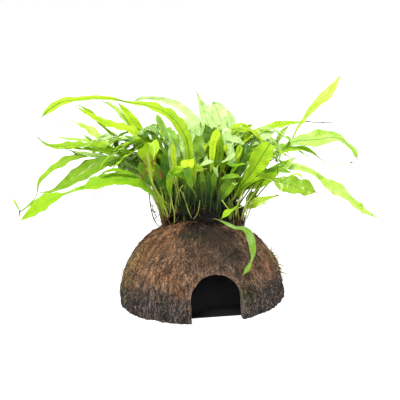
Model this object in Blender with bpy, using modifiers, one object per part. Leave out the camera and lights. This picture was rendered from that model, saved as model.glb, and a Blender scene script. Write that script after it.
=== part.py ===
"""Java fern on a coconut cave: half a coconut shell with an arched door, a mat of roots
on its top, four creeping rhizomes on the mat and the fronds that grow from them.

The shell stands on its rim at z = 0 with its door facing -Y. The fern is laid out with +X
to its right and +Y to its back, then turned about the shell's axis as it grows there.
"""
import math
from collections import namedtuple

import bmesh
import bpy
from mathutils import Matrix, Vector
from mathutils.bvhtree import BVHTree
from mathutils.geometry import interpolate_bezier

MM = 0.001
UP = Vector((0, 0, 1))
GAP = 0.3 * MM
MERGE = 0.01 * MM

# Where the shell's axis stands, so that the origin is under the middle of the whole plant
AXIS = Vector((0.8, -26.5, 0)) * MM
# The fern's turn about that axis, against the door
FERN_TURN = math.radians(-10.3)

# Half coconut: an egg-like dome, its rim just below the widest ring
SHELL_RADIUS = 65 * MM
SHELL_HALF_HEIGHT = 60.3 * MM
SHELL_MIDDLE = 4.2 * MM
SHELL_WALL = 6 * MM
SHELL_SIDES = 48
SHELL_OUTER_RINGS = 10
SHELL_INNER_RINGS = 7
HUSK_RELIEF = 5 * MM
HUSK_LUMP = 14 * MM
# Share of the dome's rings, from the crown down, that stay smooth under the mat
SMOOTH_CROWN = 0.4

# Arched door, cut through the wall down to the rim
DOOR_WIDTH = 39 * MM
DOOR_HEIGHT = 35 * MM
DOOR_ARC_STEPS = 14
# The cutter's middle in front of the shell's axis, and half its depth
DOOR_CUT_MIDDLE = 58.5 * MM
DOOR_CUT_HALF_DEPTH = 16 * MM

# Root mat: a flattened cushion laid over the top of the dome, behind its crown
MAT_CENTRE = Vector((0, 9, 60)) * MM
MAT_HALF_SIZE = Vector((38, 24, 15.5)) * MM
MAT_TILT = math.radians(-7.4)
MAT_RELIEF = 6 * MM
MAT_LUMP = 9 * MM

# Creeping rhizomes, left to right over the mat (seen from above)
RHIZOME_RADIUS = 2.6 * MM
RHIZOME_LIFT = 0.3 * RHIZOME_RADIUS
RHIZOME_STEPS = 2
RHIZOME_EDGE = math.radians(50)
RHIZOMES = {
    "front": [(-33, 0), (-24, -3), (-12, -5), (0, -6), (12, -5), (24, -2), (33, 2)],
    "middle": [(-34, 10), (-22, 12), (-10, 9), (2, 7), (13, 8), (24, 10), (34, 8)],
    "back": [(-30, 21), (-20, 23), (-9, 22), (2, 20), (12, 21), (22, 22), (30, 19)],
    "rear": [(-22, 28.5), (-8, 30), (6, 30), (20, 28.5)],
}

# Fronds: a round stalk that flattens into a blade with a raised rib and folded sides
STALK_RADIUS = 0.8 * MM
BLADE_THICKNESS = 0.9 * MM
BLADE_FOLD = 0.16
# How far the widest place sits towards the foot, and how full the outline is beside it
BLADE_TAPER = 0.72
BLADE_FULLNESS = 0.85
# Share of the frond's length over which the round stalk flattens
FLATTENING = 0.2
BLADE_EDGE = math.radians(60)
RING_SPACING = 11.5 * MM
FEWEST_RINGS = 9
FOOT_RISE = 7 * MM
RISING_FACE = 45
DROOPING_FACE = -30
FOOT_STAGGER = 1.4 * MM
FOOT_REACH = 1.5 * STALK_RADIUS
# An arch as (share of its reach, share of its top, share of its tip's height)
ARCH_SHAPE = [(0.10, 0.50, 0), (0.36, 0.92, 0), (0.70, 0.80, 0.20), (1.00, 0, 1.00)]
SQUARE = [(1, 0, 0), (0, 1, 0), (-1, 0, 0), (0, -1, 0)]
ROUTE_STEPS = 12
TURN_STEP = math.radians(1.5)
MOST_TURNS = 40

# bare: share of the length that is stalk. width: of the blade, mm. face: which way the upper
# side looks at the foot and at the tip, in degrees from up towards the front.
# route: points that the midrib passes, mm from the shell's axis at floor level.
Frond = namedtuple("Frond", "bare width face route")
# heading: degrees from +X towards +Y. reach, top, tip: mm from the frond's foot.
Arch = namedtuple("Arch", "bare width heading reach top tip")

FRONDS = {
    "front": [
        Frond(0.22, 11, (60, 75), [(-32, -8, 88), (-50, -16, 103), (-82, -22, 101), (-113, -24, 90),
                                    (-135, -24, 75)]),
        Arch(0.30, 8, 204, 52, 36, 26),
        Frond(0.30, 9, (-80, -15), [(-23, -20, 97), (-16, -36, 112), (-5, -50, 110)]),
        Frond(0.25, 14, (-85, -15), [(-23, -10, 93), (-33, -21, 110), (-37, -34, 124), (-35, -47, 130),
                                     (-30, -58, 126)]),
        Frond(0.35, 5, (80, 80), [(-18, -10, 88), (-18, -15, 110), (-17, -20, 131)]),
        Frond(0.35, 10, (-85, -10), [(-8, -20, 98), (-5, -36, 117), (-11, -54, 115)]),
        Frond(0.35, 9, (80, 85), [(9, -8, 102), (14, -8, 124), (19, -2, 136)]),
        Arch(0.35, 7, 262, 40, 42, 30),
        Frond(0.45, 8, (75, 88), [(12, -14, 87), (20, -24, 81), (30, -29, 70), (38, -32, 59), (41, -41, 49),
                                  (37, -52, 40), (31, -57, 33)]),
        Frond(0.30, 9, (82, 80), [(31, -8, 94), (34, -10, 116), (37, -2, 127)]),
        Frond(0.32, 15, (80, 60), [(35, -15, 93), (51, -26, 119), (60, -10, 124), (68, 4, 119)]),
        Frond(0.30, 16, (66, 78), [(42, -12, 92), (58, -22, 104), (78, -27, 98), (92, -28, 87)]),
        Frond(0.30, 6, (60, 60), [(38, -13, 78), (49, -17, 84), (62, -18, 85)]),
        Frond(0.28, 10.5, (48, 72), [(48, -6, 96), (70, -10, 106), (102, -14, 93), (140, -12, 63)]),
    ],
    "middle": [
        Frond(0.28, 5, (60, 60), [(-40, 16, 97), (-66, 16, 116), (-93, 16, 115), (-122, 14, 100),
                                  (-129, 12, 85), (-141, 10, 74)]),
        Frond(0.30, 10, (58, 62), [(-38, 6, 100), (-56, 3, 116), (-90, -3, 107), (-126, -4, 92)]),
        Frond(0.30, 7, (45, 60), [(-36, 13, 99), (-66, 12, 119), (-109, 11, 125), (-125, 11, 133)]),
        Frond(0.32, 11, (70, 50), [(-24, 12, 98), (-45, 18, 128), (-71, 18, 142), (-94, 16, 155)]),
        Arch(0.35, 8, 150, 66, 58, 36),
        Frond(0.34, 8, (80, 60), [(-15, 12, 94), (-33, 17, 118), (-49, 22, 142), (-60, 24, 154)]),
        Frond(0.28, 11, (60, 145), [(-8, 0, 120), (-26, -8, 156), (-66, -15, 166), (-98, -20, 165),
                                      (-115, -20, 153)]),
        Frond(0.40, 8, (82, 80), [(1, 9, 101), (3, 15, 124), (7, 19, 135)]),
        Arch(0.40, 8, 84, 26, 66, 62),
        Frond(0.40, 10, (88, 92), [(17, -2, 103), (20, -3, 122), (25, 6, 138)]),
        Frond(0.48, 10, (80, 78), [(41, 15, 86), (72, 30, 113), (95, 36, 142), (119, 42, 168)]),
        Arch(0.35, 8, 38, 60, 52, 40),
        Frond(0.30, 11, (68, 58), [(44, 10, 92), (75, 15, 118), (105, 12, 126), (127, 6, 108)]),
        Frond(0.35, 8, (70, 60), [(49, 3, 90), (65, -1, 104), (79, -3, 112)]),
        Frond(0.30, 7, (50, 35), [(50, 14, 92), (77, 21, 111), (104, 18, 101), (125, 16, 101)]),
    ],
    "back": [
        Arch(0.30, 9, 168, 84, 38, 18),
        Frond(0.30, 8, (50, 48), [(-34, 33, 97), (-66, 40, 118), (-98, 41, 124), (-117, 40, 121)]),
        Arch(0.30, 10, 138, 88, 52, 30),
        Frond(0.32, 7, (52, 50), [(-30, 38, 99), (-63, 48, 118), (-92, 53, 133), (-113, 50, 140)]),
        Frond(0.34, 8, (80, 80), [(-19, 25, 97), (-40, 33, 124), (-71, 35, 156)]),
        Frond(0.34, 8, (60, 105), [(-17, 32, 99), (-42, 41, 118), (-68, 46, 129), (-90, 44, 151)]),
        Arch(0.30, 11, 112, 84, 56, 34),
        Frond(0.34, 14, (80, 60), [(4, 33, 99), (6, 46, 128), (-18, 54, 150), (-48, 56, 155)]),
        Arch(0.30, 12, 98, 96, 46, 20),
        Frond(0.36, 9, (84, 84), [(7, 22, 100), (13, 31, 128), (9, 37, 148), (3, 40, 161)]),
        Arch(0.30, 10, 76, 88, 54, 28),
        Frond(0.34, 14, (84, 60), [(20, 28, 102), (29, 40, 132), (27, 49, 147), (17, 60, 151)]),
        Arch(0.30, 10, 58, 92, 44, 22),
        Frond(0.32, 12, (80, 60), [(28, 35, 104), (38, 46, 122), (57, 54, 129)]),
        Frond(0.32, 7, (60, 42), [(30, 30, 99), (50, 44, 120), (78, 52, 130), (111, 48, 130)]),
        Arch(0.30, 9, 30, 86, 44, 26),
        Frond(0.32, 11, (70, 60), [(46, 27, 96), (61, 31, 113), (78, 33, 132)]),
        Arch(0.30, 9, 10, 74, 34, 14),
    ],
    "rear": [
        Arch(0.28, 10, 152, 62, 26, -8),
        Arch(0.28, 9, 132, 72, 32, -4),
        Arch(0.28, 11, 111, 60, 38, 6),
        Arch(0.28, 12, 92, 76, 27, -12),
        Arch(0.28, 10, 73, 62, 38, 2),
        Arch(0.28, 11, 54, 72, 29, -10),
        Arch(0.28, 8, 30, 60, 26, -4),
    ],
}

SHELL_COLOUR = (0.115, 0.065, 0.040)
MAT_COLOUR = (0.016, 0.010, 0.006)
RHIZOME_COLOUR = (0.075, 0.095, 0.020)
FROND_COLOUR = (0.190, 0.430, 0.012)


def clear_scene():
    for thing in list(bpy.data.objects):
        bpy.data.objects.remove(thing, do_unlink=True)


def new_collection(name):
    group = bpy.data.collections.new(name)
    bpy.context.scene.collection.children.link(group)
    return group


def paint(thing, colour, roughness):
    material = bpy.data.materials.new(thing.name)
    material.use_nodes = True
    shader = material.node_tree.nodes["Principled BSDF"]
    shader.inputs["Base Color"].default_value = (*colour, 1)
    shader.inputs["Roughness"].default_value = roughness
    shader.inputs["Metallic"].default_value = 0
    thing.data.materials.clear()
    thing.data.materials.append(material)


def add_object(name, data, group, parent=None):
    thing = bpy.data.objects.new(name, data)
    group.objects.link(thing)
    thing.parent = parent
    return thing


def add_frame(name, group, location, turn, parent=None):
    """An empty that carries the pieces laid out in its own frame."""
    frame = add_object(name, None, group, parent)
    frame.location = location
    frame.rotation_euler.z = turn
    return frame


def as_guide(thing):
    thing.hide_render = True
    thing.display_type = "WIRE"


def evaluated(thing):
    bpy.context.view_layer.update()
    return thing.evaluated_get(bpy.context.evaluated_depsgraph_get())


def mesh_copy_of_curve(curve_object, group):
    """The curve as a closed mesh in its place, its loose caps welded on."""
    mesh = bpy.data.meshes.new_from_object(evaluated(curve_object))
    welded = bmesh.new()
    welded.from_mesh(mesh)
    bmesh.ops.remove_doubles(welded, verts=welded.verts, dist=MERGE)
    welded.to_mesh(mesh)
    welded.free()
    name = curve_object.name
    place = curve_object.matrix_world.copy()
    bpy.data.objects.remove(curve_object, do_unlink=True)
    solid = add_object(name, mesh, group)
    solid.matrix_world = place
    return solid


def cut(thing, cutter):
    boolean = thing.modifiers.new("cut " + cutter.name, "BOOLEAN")
    boolean.operation = "DIFFERENCE"
    boolean.object = cutter
    boolean.solver = "EXACT"


def add_relief(thing, group_name, lump, height):
    """Uneven growth on the vertices of a group: a cloud of lumps of the given size."""
    clouds = bpy.data.textures.new(thing.name + " relief", "CLOUDS")
    clouds.noise_scale = lump
    clouds.noise_depth = 2
    relief = thing.modifiers.new("relief", "DISPLACE")
    relief.texture = clouds
    relief.texture_coords = "LOCAL"
    relief.vertex_group = group_name
    relief.strength = height
    relief.mid_level = 0.5


def turned(name, profile, group, parent):
    """A profile of (radius, height) points, turned about Z."""
    mesh = bpy.data.meshes.new(name)
    corners = [(radius, 0, height) for radius, height in profile]
    mesh.from_pydata(corners, [(i, i + 1) for i in range(len(corners) - 1)], [])
    thing = add_object(name, mesh, group, parent)
    screw = thing.modifiers.new("turn", "SCREW")
    screw.steps = SHELL_SIDES
    screw.render_steps = SHELL_SIDES
    screw.use_merge_vertices = True
    screw.merge_threshold = MERGE
    screw.use_smooth_shade = True
    return thing


def dome_arc(rings, offset):
    """The dome's outline from its crown to its rim, moved out by the offset."""
    radius = SHELL_RADIUS + offset
    half_height = SHELL_HALF_HEIGHT + offset
    rim_angle = math.acos(-SHELL_MIDDLE / half_height)
    angles = [rim_angle * ring / rings for ring in range(rings + 1)]
    arc = [(radius * math.sin(angle), SHELL_MIDDLE + half_height * math.cos(angle)) for angle in angles]
    arc[0] = (0, arc[0][1])
    arc[-1] = (arc[-1][0], 0)
    return arc


def build_shell(group, cutters, cave):
    outer = dome_arc(SHELL_OUTER_RINGS, 0)
    inner = dome_arc(SHELL_INNER_RINGS, -SHELL_WALL)
    shell = turned("coconut_shell", outer + inner[::-1], group, cave)
    husk = shell.vertex_groups.new(name="husk")
    for ring in range(SHELL_OUTER_RINGS):
        if ring > SHELL_OUTER_RINGS * SMOOTH_CROWN:
            husk.add([ring], 1.0, "REPLACE")
    add_relief(shell, "husk", HUSK_LUMP, HUSK_RELIEF)
    cut(shell, build_door_cutter(cutters, cave))
    paint(shell, SHELL_COLOUR, 0.9)
    return shell


def build_door_cutter(cutters, cave):
    """The door's arched outline, extruded through the front wall and past the rim."""
    half_width = DOOR_WIDTH / 2
    spring = DOOR_HEIGHT - half_width
    outline = [(half_width, -SHELL_WALL)]
    for step in range(DOOR_ARC_STEPS + 1):
        angle = math.pi * step / DOOR_ARC_STEPS
        outline.append((half_width * math.cos(angle), spring + half_width * math.sin(angle)))
    outline.append((-half_width, -SHELL_WALL))
    flat = bpy.data.curves.new("door", "CURVE")
    flat.dimensions = "2D"
    flat.fill_mode = "BOTH"
    flat.extrude = DOOR_CUT_HALF_DEPTH
    spline = flat.splines.new("POLY")
    spline.points.add(len(outline) - 1)
    spline.use_cyclic_u = True
    for point, (x, z) in zip(spline.points, outline):
        point.co = (x, z, 0, 1)
    door = add_object("door", flat, cutters, cave)
    door.rotation_euler.x = math.radians(90)
    door.location.y = -DOOR_CUT_MIDDLE
    solid = mesh_copy_of_curve(door, cutters)
    as_guide(solid)
    return solid


def build_mat(group, cutters, fern):
    bpy.ops.mesh.primitive_uv_sphere_add(segments=32, ring_count=16, radius=1)
    mat = bpy.context.object
    mat.name = "root_mat"
    for owner in list(mat.users_collection):
        owner.objects.unlink(mat)
    group.objects.link(mat)
    mat.data.transform(Matrix.Diagonal((*MAT_HALF_SIZE, 1)))
    mat.data.shade_smooth()
    mat.parent = fern
    mat.location = MAT_CENTRE
    mat.rotation_euler.x = MAT_TILT
    whole = mat.vertex_groups.new(name="mat")
    whole.add(range(len(mat.data.vertices)), 1.0, "REPLACE")
    add_relief(mat, "mat", MAT_LUMP, MAT_RELIEF)
    bed = turned("bed", dome_arc(SHELL_OUTER_RINGS, GAP) + [(0, 0)], cutters, fern)
    as_guide(bed)
    cut(mat, bed)
    paint(mat, MAT_COLOUR, 0.95)
    return mat


class Surroundings:
    """The finished solids in world space, to stand new pieces on and keep them clear."""

    def __init__(self, things):
        self.trees = []
        for thing in things:
            self.add(thing)

    def add(self, thing):
        mesh = evaluated(thing).to_mesh()
        corners = [thing.matrix_world @ vertex.co for vertex in mesh.vertices]
        self.trees.append(BVHTree.FromPolygons(corners, [face.vertices[:] for face in mesh.polygons]))

    def height(self, place):
        """The height of the highest surface over or under a place."""
        above = Vector((place.x, place.y, 1))
        hits = [tree.ray_cast(above, -UP)[0] for tree in self.trees]
        return max(hit.z for hit in hits if hit is not None)

    def is_clear(self, corners, faces):
        tree = BVHTree.FromPolygons(corners, faces)
        return not any(tree.overlap(other) for other in self.trees)


def tube(name, route, radius, group, parent):
    curve = bpy.data.curves.new(name, "CURVE")
    curve.dimensions = "3D"
    curve.bevel_depth = radius
    curve.bevel_resolution = 2
    curve.use_fill_caps = True
    spline = curve.splines.new("POLY")
    spline.points.add(len(route) - 1)
    for point, place in zip(spline.points, route):
        point.co = (*place, 1)
    return add_object(name, curve, group, parent)


def build_rhizomes(mat, group, cutters, fern):
    """Thick creeping stems, each half sunk in its own groove of the mat; gives their routes."""
    smooth_mat = Surroundings([mat])
    rhizomes = []
    routes = {}
    for row, places in RHIZOMES.items():
        flat = smooth_route([Vector((*place, 0)) * MM for place in places], RHIZOME_STEPS)
        routes[row] = [point + UP * (smooth_mat.height(fern.matrix_world @ point) + RHIZOME_LIFT)
                       for point in flat]
    for row, route in routes.items():
        start = route[0] + (route[0] - route[1]).normalized() * GAP * 2
        end = route[-1] + (route[-1] - route[-2]).normalized() * GAP * 2
        groove = tube(row + "_groove", [start] + route[1:-1] + [end], RHIZOME_RADIUS + GAP, cutters, fern)
        groove = mesh_copy_of_curve(groove, cutters)
        as_guide(groove)
        cut(mat, groove)
        rhizome = mesh_copy_of_curve(tube("rhizome_" + row, route, RHIZOME_RADIUS, group, fern), group)
        rhizome.data.shade_smooth()
        rhizome.data.set_sharp_from_angle(angle=RHIZOME_EDGE)
        paint(rhizome, RHIZOME_COLOUR, 0.8)
        rhizomes.append(rhizome)
    return rhizomes, routes


def smooth_route(points, steps):
    """A smooth curve through the points, with as many steps between each two."""
    padded = [points[0] * 2 - points[1]] + points + [points[-1] * 2 - points[-2]]
    route = []
    for before, start, end, after in zip(padded, padded[1:], padded[2:], padded[3:]):
        handle_out = start + (end - before) / 6
        handle_in = end - (after - start) / 6
        route += interpolate_bezier(start, handle_out, handle_in, end, steps + 1)[:-1]
    return route + [points[-1]]


def spaced(route, count):
    """Points at equal distances along a route, both ends among them."""
    lengths = [0]
    for start, end in zip(route, route[1:]):
        lengths.append(lengths[-1] + (end - start).length)
    points = []
    segment = 0
    for index in range(count):
        target = lengths[-1] * index / (count - 1)
        while segment < len(route) - 2 and lengths[segment + 1] < target:
            segment += 1
        share = (target - lengths[segment]) / (lengths[segment + 1] - lengths[segment])
        points.append(route[segment].lerp(route[segment + 1], share))
    return points


def feet_along(route, count, fern, ground):
    """Where the fronds of one rhizome stand: in two staggered rows along its top."""
    line = spaced(route, 2 * count + 1)
    feet = []
    for index in range(count):
        before, here, after = line[2 * index:2 * index + 3]
        aside = (after - before).cross(UP).normalized() * FOOT_STAGGER * (-1) ** index
        place = here + aside
        ring = [Vector((0, 0, 0))] + [Vector(step) * FOOT_REACH for step in SQUARE]
        place.z = max(ground.height(fern.matrix_world @ (place + step)) for step in ring) + GAP
        feet.append(place)
    return feet


def arch_points(foot, arch):
    """An arch from the foot: steep at first, highest at about two thirds of its reach."""
    heading = math.radians(arch.heading)
    out = Vector((math.cos(heading), math.sin(heading), 0)) * arch.reach * MM
    return [foot + out * far + UP * (arch.top * top + arch.tip * tip) * MM
            for far, top, tip in ARCH_SHAPE]


def frond_line(foot, frond):
    """The route of a frond's midrib, from its foot on the rhizome to its tip."""
    if isinstance(frond, Arch):
        points = arch_points(foot, frond)
    else:
        points = [Vector(point) * MM for point in frond.route]
    return smooth_route([foot, foot + UP * FOOT_RISE] + points, ROUTE_STEPS)


def frond_faces(frond):
    """The angles that the upper side looks at, at the foot and at the tip."""
    if isinstance(frond, Arch):
        backward = math.sin(math.radians(frond.heading))
        return RISING_FACE * backward, DROOPING_FACE * backward
    return frond.face


def blade_half_width(frond, along):
    """Half the frond's width at a share of its length: stalk first, then a lance-shaped blade."""
    blade = max(along - frond.bare, 0) / (1 - frond.bare)
    outline = math.sin(math.pi * blade ** BLADE_TAPER) ** BLADE_FULLNESS
    return max(frond.width / 2 * MM * outline, STALK_RADIUS)


def frond_rings(line, frond, grow):
    """Four corners round the midrib at each ring: left edge, rib below, right edge, top."""
    length = sum((end - start).length for start, end in zip(line, line[1:]))
    count = max(FEWEST_RINGS, round(length / RING_SPACING))
    centres = spaced(line, count + 1)
    first_face, last_face = frond_faces(frond)
    rings = []
    for index in range(count):
        along = index / count
        before = centres[max(index - 1, 0)]
        tangent = (centres[index + 1] - before).normalized() if index else UP
        face = math.radians(first_face + (last_face - first_face) * along)
        looking = Vector((0, -math.sin(face), math.cos(face)))
        normal = (looking - tangent * looking.dot(tangent)).normalized()
        side = tangent.cross(normal)
        half_width = blade_half_width(frond, along)
        flatness = min(max((along - frond.bare) / FLATTENING, 0), 1)
        half_depth = STALK_RADIUS + (BLADE_THICKNESS / 2 - STALK_RADIUS) * flatness + grow
        fold = normal * half_width * BLADE_FOLD * flatness
        across = side * (half_width + grow)
        centre = centres[index]
        rings.append([centre - across + fold, centre - normal * half_depth,
                      centre + across + fold, centre + normal * half_depth])
    return rings, centres[-1]


def frond_solid(name, line, frond, grow=0):
    """The closed frond, lofted from its round stalk to its folded blade, about its foot."""
    rings, tip = frond_rings(line, frond, grow)
    foot = line[0]
    solid = bmesh.new()
    loops = [[solid.verts.new(corner - foot) for corner in ring] for ring in rings]
    end = solid.verts.new(tip - foot)
    solid.faces.new(loops[0])
    for ring, following in zip(loops, loops[1:]):
        for corner in range(4):
            beside = (corner + 1) % 4
            solid.faces.new([ring[corner], following[corner], following[beside], ring[beside]])
    for corner in range(4):
        solid.faces.new([loops[-1][corner], end, loops[-1][(corner + 1) % 4]])
    bmesh.ops.triangulate(solid, faces=solid.faces)
    bmesh.ops.recalc_face_normals(solid, faces=solid.faces)
    mesh = bpy.data.meshes.new(name)
    solid.to_mesh(mesh)
    solid.free()
    return mesh


def turn_until_clear(line, frond, fern, around):
    """The least turn about its foot that keeps a frond clear of everything already there."""
    swollen = frond_solid("swollen", line, frond, GAP)
    corners = [vertex.co.copy() for vertex in swollen.vertices]
    faces = [face.vertices[:] for face in swollen.polygons]
    bpy.data.meshes.remove(swollen)
    for step in range(2 * MOST_TURNS):
        turn = TURN_STEP * ((step + 1) // 2) * (-1) ** step
        place = fern.matrix_world @ Matrix.Translation(line[0]) @ Matrix.Rotation(turn, 4, "Z")
        if around.is_clear([place @ corner for corner in corners], faces):
            return turn
    raise ValueError("A frond finds no room: " + str(frond))


def build_fronds(routes, group, fern, ground, around):
    for row, fronds in FRONDS.items():
        feet = feet_along(routes[row], len(fronds), fern, ground)
        for number, (foot, frond) in enumerate(zip(feet, fronds), 1):
            line = frond_line(foot, frond)
            name = f"frond_{row}_{number:02d}"
            blade = add_object(name, frond_solid(name, line, frond), group, fern)
            blade.location = foot
            blade.rotation_euler.z = turn_until_clear(line, frond, fern, around)
            blade.data.shade_smooth()
            blade.data.set_sharp_from_angle(angle=BLADE_EDGE)
            paint(blade, FROND_COLOUR, 0.5)
            around.add(blade)


def main():
    clear_scene()
    group = new_collection("java fern on coconut cave")
    cutters = new_collection("cutters")
    cave = add_frame("cave", cutters, AXIS, 0)
    fern = add_frame("fern", cutters, (0, 0, 0), FERN_TURN, cave)
    shell = build_shell(group, cutters, cave)
    mat = build_mat(group, cutters, fern)
    rhizomes, routes = build_rhizomes(mat, group, cutters, fern)
    ground = Surroundings([mat] + rhizomes)
    around = Surroundings([shell, mat] + rhizomes)
    build_fronds(routes, group, fern, ground, around)


main()
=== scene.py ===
"""Looks of a java fern that grows on half a coconut shell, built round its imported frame.

Lengths in the tables are millimetres. The fern is laid out in its own frame, with +X to its
right, +Y to its back and its origin under the shell's crown, then turned into the part's frame.
"""

import math
from collections import namedtuple

import bmesh
import bpy
import numpy as np
from mathutils import Matrix, Vector
from mathutils.bvhtree import BVHTree


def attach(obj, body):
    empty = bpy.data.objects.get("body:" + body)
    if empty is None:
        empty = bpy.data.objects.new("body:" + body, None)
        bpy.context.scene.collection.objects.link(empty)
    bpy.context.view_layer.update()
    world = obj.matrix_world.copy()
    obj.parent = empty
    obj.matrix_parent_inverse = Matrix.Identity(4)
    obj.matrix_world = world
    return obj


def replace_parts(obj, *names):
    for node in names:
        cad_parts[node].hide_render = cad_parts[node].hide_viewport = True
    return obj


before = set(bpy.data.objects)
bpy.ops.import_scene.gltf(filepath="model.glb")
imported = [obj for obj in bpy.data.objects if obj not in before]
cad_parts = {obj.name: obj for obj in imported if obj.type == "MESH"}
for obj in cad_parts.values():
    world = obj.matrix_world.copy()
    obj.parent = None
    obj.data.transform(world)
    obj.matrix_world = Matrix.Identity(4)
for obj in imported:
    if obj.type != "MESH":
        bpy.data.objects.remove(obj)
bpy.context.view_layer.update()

MM = 0.001
AXIS = np.array([0.8, -26.5, 0.0])
FERN_TURN = math.radians(-10.3)

# Half coconut, as in the part's source
SHELL_RADIUS = 65.0
SHELL_HALF_HEIGHT = 60.3
SHELL_MIDDLE = 4.2
SHELL_WALL = 6.0
DOOR_WIDTH = 39.0
DOOR_HEIGHT = 35.0
DOOR_ARC_STEPS = 40
# The door's cutter: how far in front of the axis it starts and how deep it goes, in shell radii
CUTTER_FRONT = 1.4
CUTTER_DEPTH = 0.85
RIM_ANGLE = math.acos(-SHELL_MIDDLE / SHELL_HALF_HEIGHT)
SHARP_ANGLE = math.radians(50)
SHELL_SIDES = 446
HUSK_RINGS = 150
LINING_RINGS = 12
# The coarse net on which the part's own lumps are read, and how far they may stand off the dome
LUMP_SIDES = 96
LUMP_RINGS = 30
MOST_LUMP = 4.5

# Root mat, drawn in a little at its left and front, where roots and stalks cover it
MAT_CENTRE = np.array([6.4, 10.5, 60.5])
MAT_HALF_SIZE = np.array([29.8, 21.5, 15.2])
MAT_TILT = math.radians(-7.4)
MAT_RINGS = 63
MAT_SIDES = 128
# How far out from the dome's middle the mat rests, the dome being 1
MAT_REST = 1.012

# Stems: left of this place in the fern's frame they are drawn in by this share
LEFT_BEND = -20.0
LEFT_DRAW = 0.45
STEM_CUTS = 3

# Fronds
STALK_RADIUS = 0.52
YOUNG_STALK_RADIUS = 0.5
DARK_STALK_RADIUS = 0.4
BROAD_STALK_RADIUS = 0.6
SPRIG_STALK_RADIUS = 0.35
STATION_SPACING = 1.25
SECTION_SIDES = 16
SMALL_STATION_SPACING = 1.8
SMALL_SECTION_SIDES = 12
FEWEST_STATIONS = 19
BLADE_HALF_THICKNESS = 0.14
RIB_HEIGHT = 0.34
RIB_WIDTH = 0.55
BLADE_FOLD = 0.19
# Half width from which a ring of a frond's node is read as blade, which has an upper side
BLADE_FROM = 1.6

# Camera of the photograph, in the fern's frame
CAMERA_DISTANCE = 800.0
CAMERA_AIM = Vector((1.6, 0, 79.9))
CAMERA_PITCH = math.radians(13.08)
CAMERA_ROLL = math.radians(-2.37)
CAMERA_LENS = 91.4
CAMERA_SENSOR = 36.0
PHOTO_PIXELS = 400


# Places and noise

def from_fern(places):
    """Millimetres in the fern's frame to metres in the part's."""
    places = np.asarray(places, float)
    cosine, sine = math.cos(FERN_TURN), math.sin(FERN_TURN)
    x, y, z = places[..., 0], places[..., 1], places[..., 2]
    turned = np.stack([cosine * x - sine * y, sine * x + cosine * y, z], axis=-1)
    return (turned + AXIS) * MM


def drawn_in(places):
    """Places in metres; those left of the mat's seen end are moved right towards it."""
    out = np.array(places) / MM - AXIS
    cosine, sine = math.cos(FERN_TURN), math.sin(FERN_TURN)
    x = cosine * out[..., 0] + sine * out[..., 1]
    shift = np.maximum(LEFT_BEND - x, 0) * LEFT_DRAW
    return np.array(places) + fern_direction(np.stack([shift, 0 * shift, 0 * shift], axis=-1))


def from_shell(places):
    """Millimetres about the shell's axis to metres in the part's frame."""
    return (np.asarray(places, float) + AXIS) * MM


def camera_axes():
    """The camera's right, up and ahead in the fern's frame."""
    up = Vector((0, math.sin(CAMERA_PITCH), math.cos(CAMERA_PITCH)))
    ahead = Vector((0, math.cos(CAMERA_PITCH), -math.sin(CAMERA_PITCH)))
    right = Vector((1, 0, 0))
    return (right * math.cos(CAMERA_ROLL) + up * math.sin(CAMERA_ROLL),
            up * math.cos(CAMERA_ROLL) - right * math.sin(CAMERA_ROLL), ahead)


def sighted(seen):
    """Places in the fern's frame for rows of column and row in the photograph and depth in mm."""
    column, row, depth = np.moveaxis(np.asarray(seen, float)[..., :3], -1, 0)
    right, up, ahead = (np.array(axis) for axis in camera_axes())
    focus = PHOTO_PIXELS * CAMERA_LENS / CAMERA_SENSOR
    half = PHOTO_PIXELS / 2
    ray = (ahead + (column[..., None] - half) / focus * right - (row[..., None] - half) / focus * up)
    eye = np.array(CAMERA_AIM) - ahead * CAMERA_DISTANCE
    return eye + (depth - eye[1])[..., None] / ray[..., 1:2] * ray


def unit(arrows):
    return arrows / np.maximum(np.linalg.norm(arrows, axis=-1, keepdims=True), 1e-9)


def lattice(cells):
    """Repeatable numbers from -1 to 1 at whole-number places."""
    x, y, z = np.moveaxis(cells.astype(np.int64), -1, 0)
    mixed = (x * 73856093) ^ (y * 19349663) ^ (z * 83492791)
    mixed = ((mixed ^ (mixed >> 13)) * 1274126177) & 0x7FFFFFFF
    return ((mixed ^ (mixed >> 16)) & 0xFFFF) / 32767.5 - 1


def noise(places, size):
    """Smooth lumps of the given size, from -1 to 1."""
    at = np.asarray(places, float) / size
    low = np.floor(at)
    part = at - low
    part = part * part * (3 - 2 * part)
    total = 0
    for corner in np.ndindex(2, 2, 2):
        weight = np.prod(np.where(corner, part, 1 - part), axis=-1)
        total = total + weight * lattice(low + corner)
    return total


def smooth_step(low, high, values):
    share = np.clip((values - low) / (high - low), 0, 1)
    return share * share * (3 - 2 * share)


def curve_through(knots, steps):
    """A smooth curve through rows of numbers, with as many steps between each two rows."""
    knots = np.asarray(knots, float)
    padded = np.vstack([2 * knots[0] - knots[1], knots, 2 * knots[-1] - knots[-2]])
    before, start, end, after = padded[:-3], padded[1:-2], padded[2:-1], padded[3:]
    rows = []
    for step in range(steps):
        t = step / steps
        rows.append(0.5 * (2 * start + (end - before) * t
                           + (2 * before - 5 * start + 4 * end - after) * t ** 2
                           + (3 * start - before - 3 * end + after) * t ** 3))
    smooth = np.stack(rows, axis=1).reshape(-1, knots.shape[1])
    return np.vstack([smooth, knots[-1:]])


def lengths_along(line):
    return np.concatenate([[0], np.cumsum(np.linalg.norm(np.diff(line[:, :3], axis=0), axis=1))])


def spaced(line, count):
    """Rows at equal distances along a line whose first three columns are places."""
    lengths = lengths_along(line)
    at = np.linspace(0, lengths[-1], count)
    return np.stack([np.interp(at, lengths, column) for column in line.T], axis=1)


# Meshes

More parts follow.
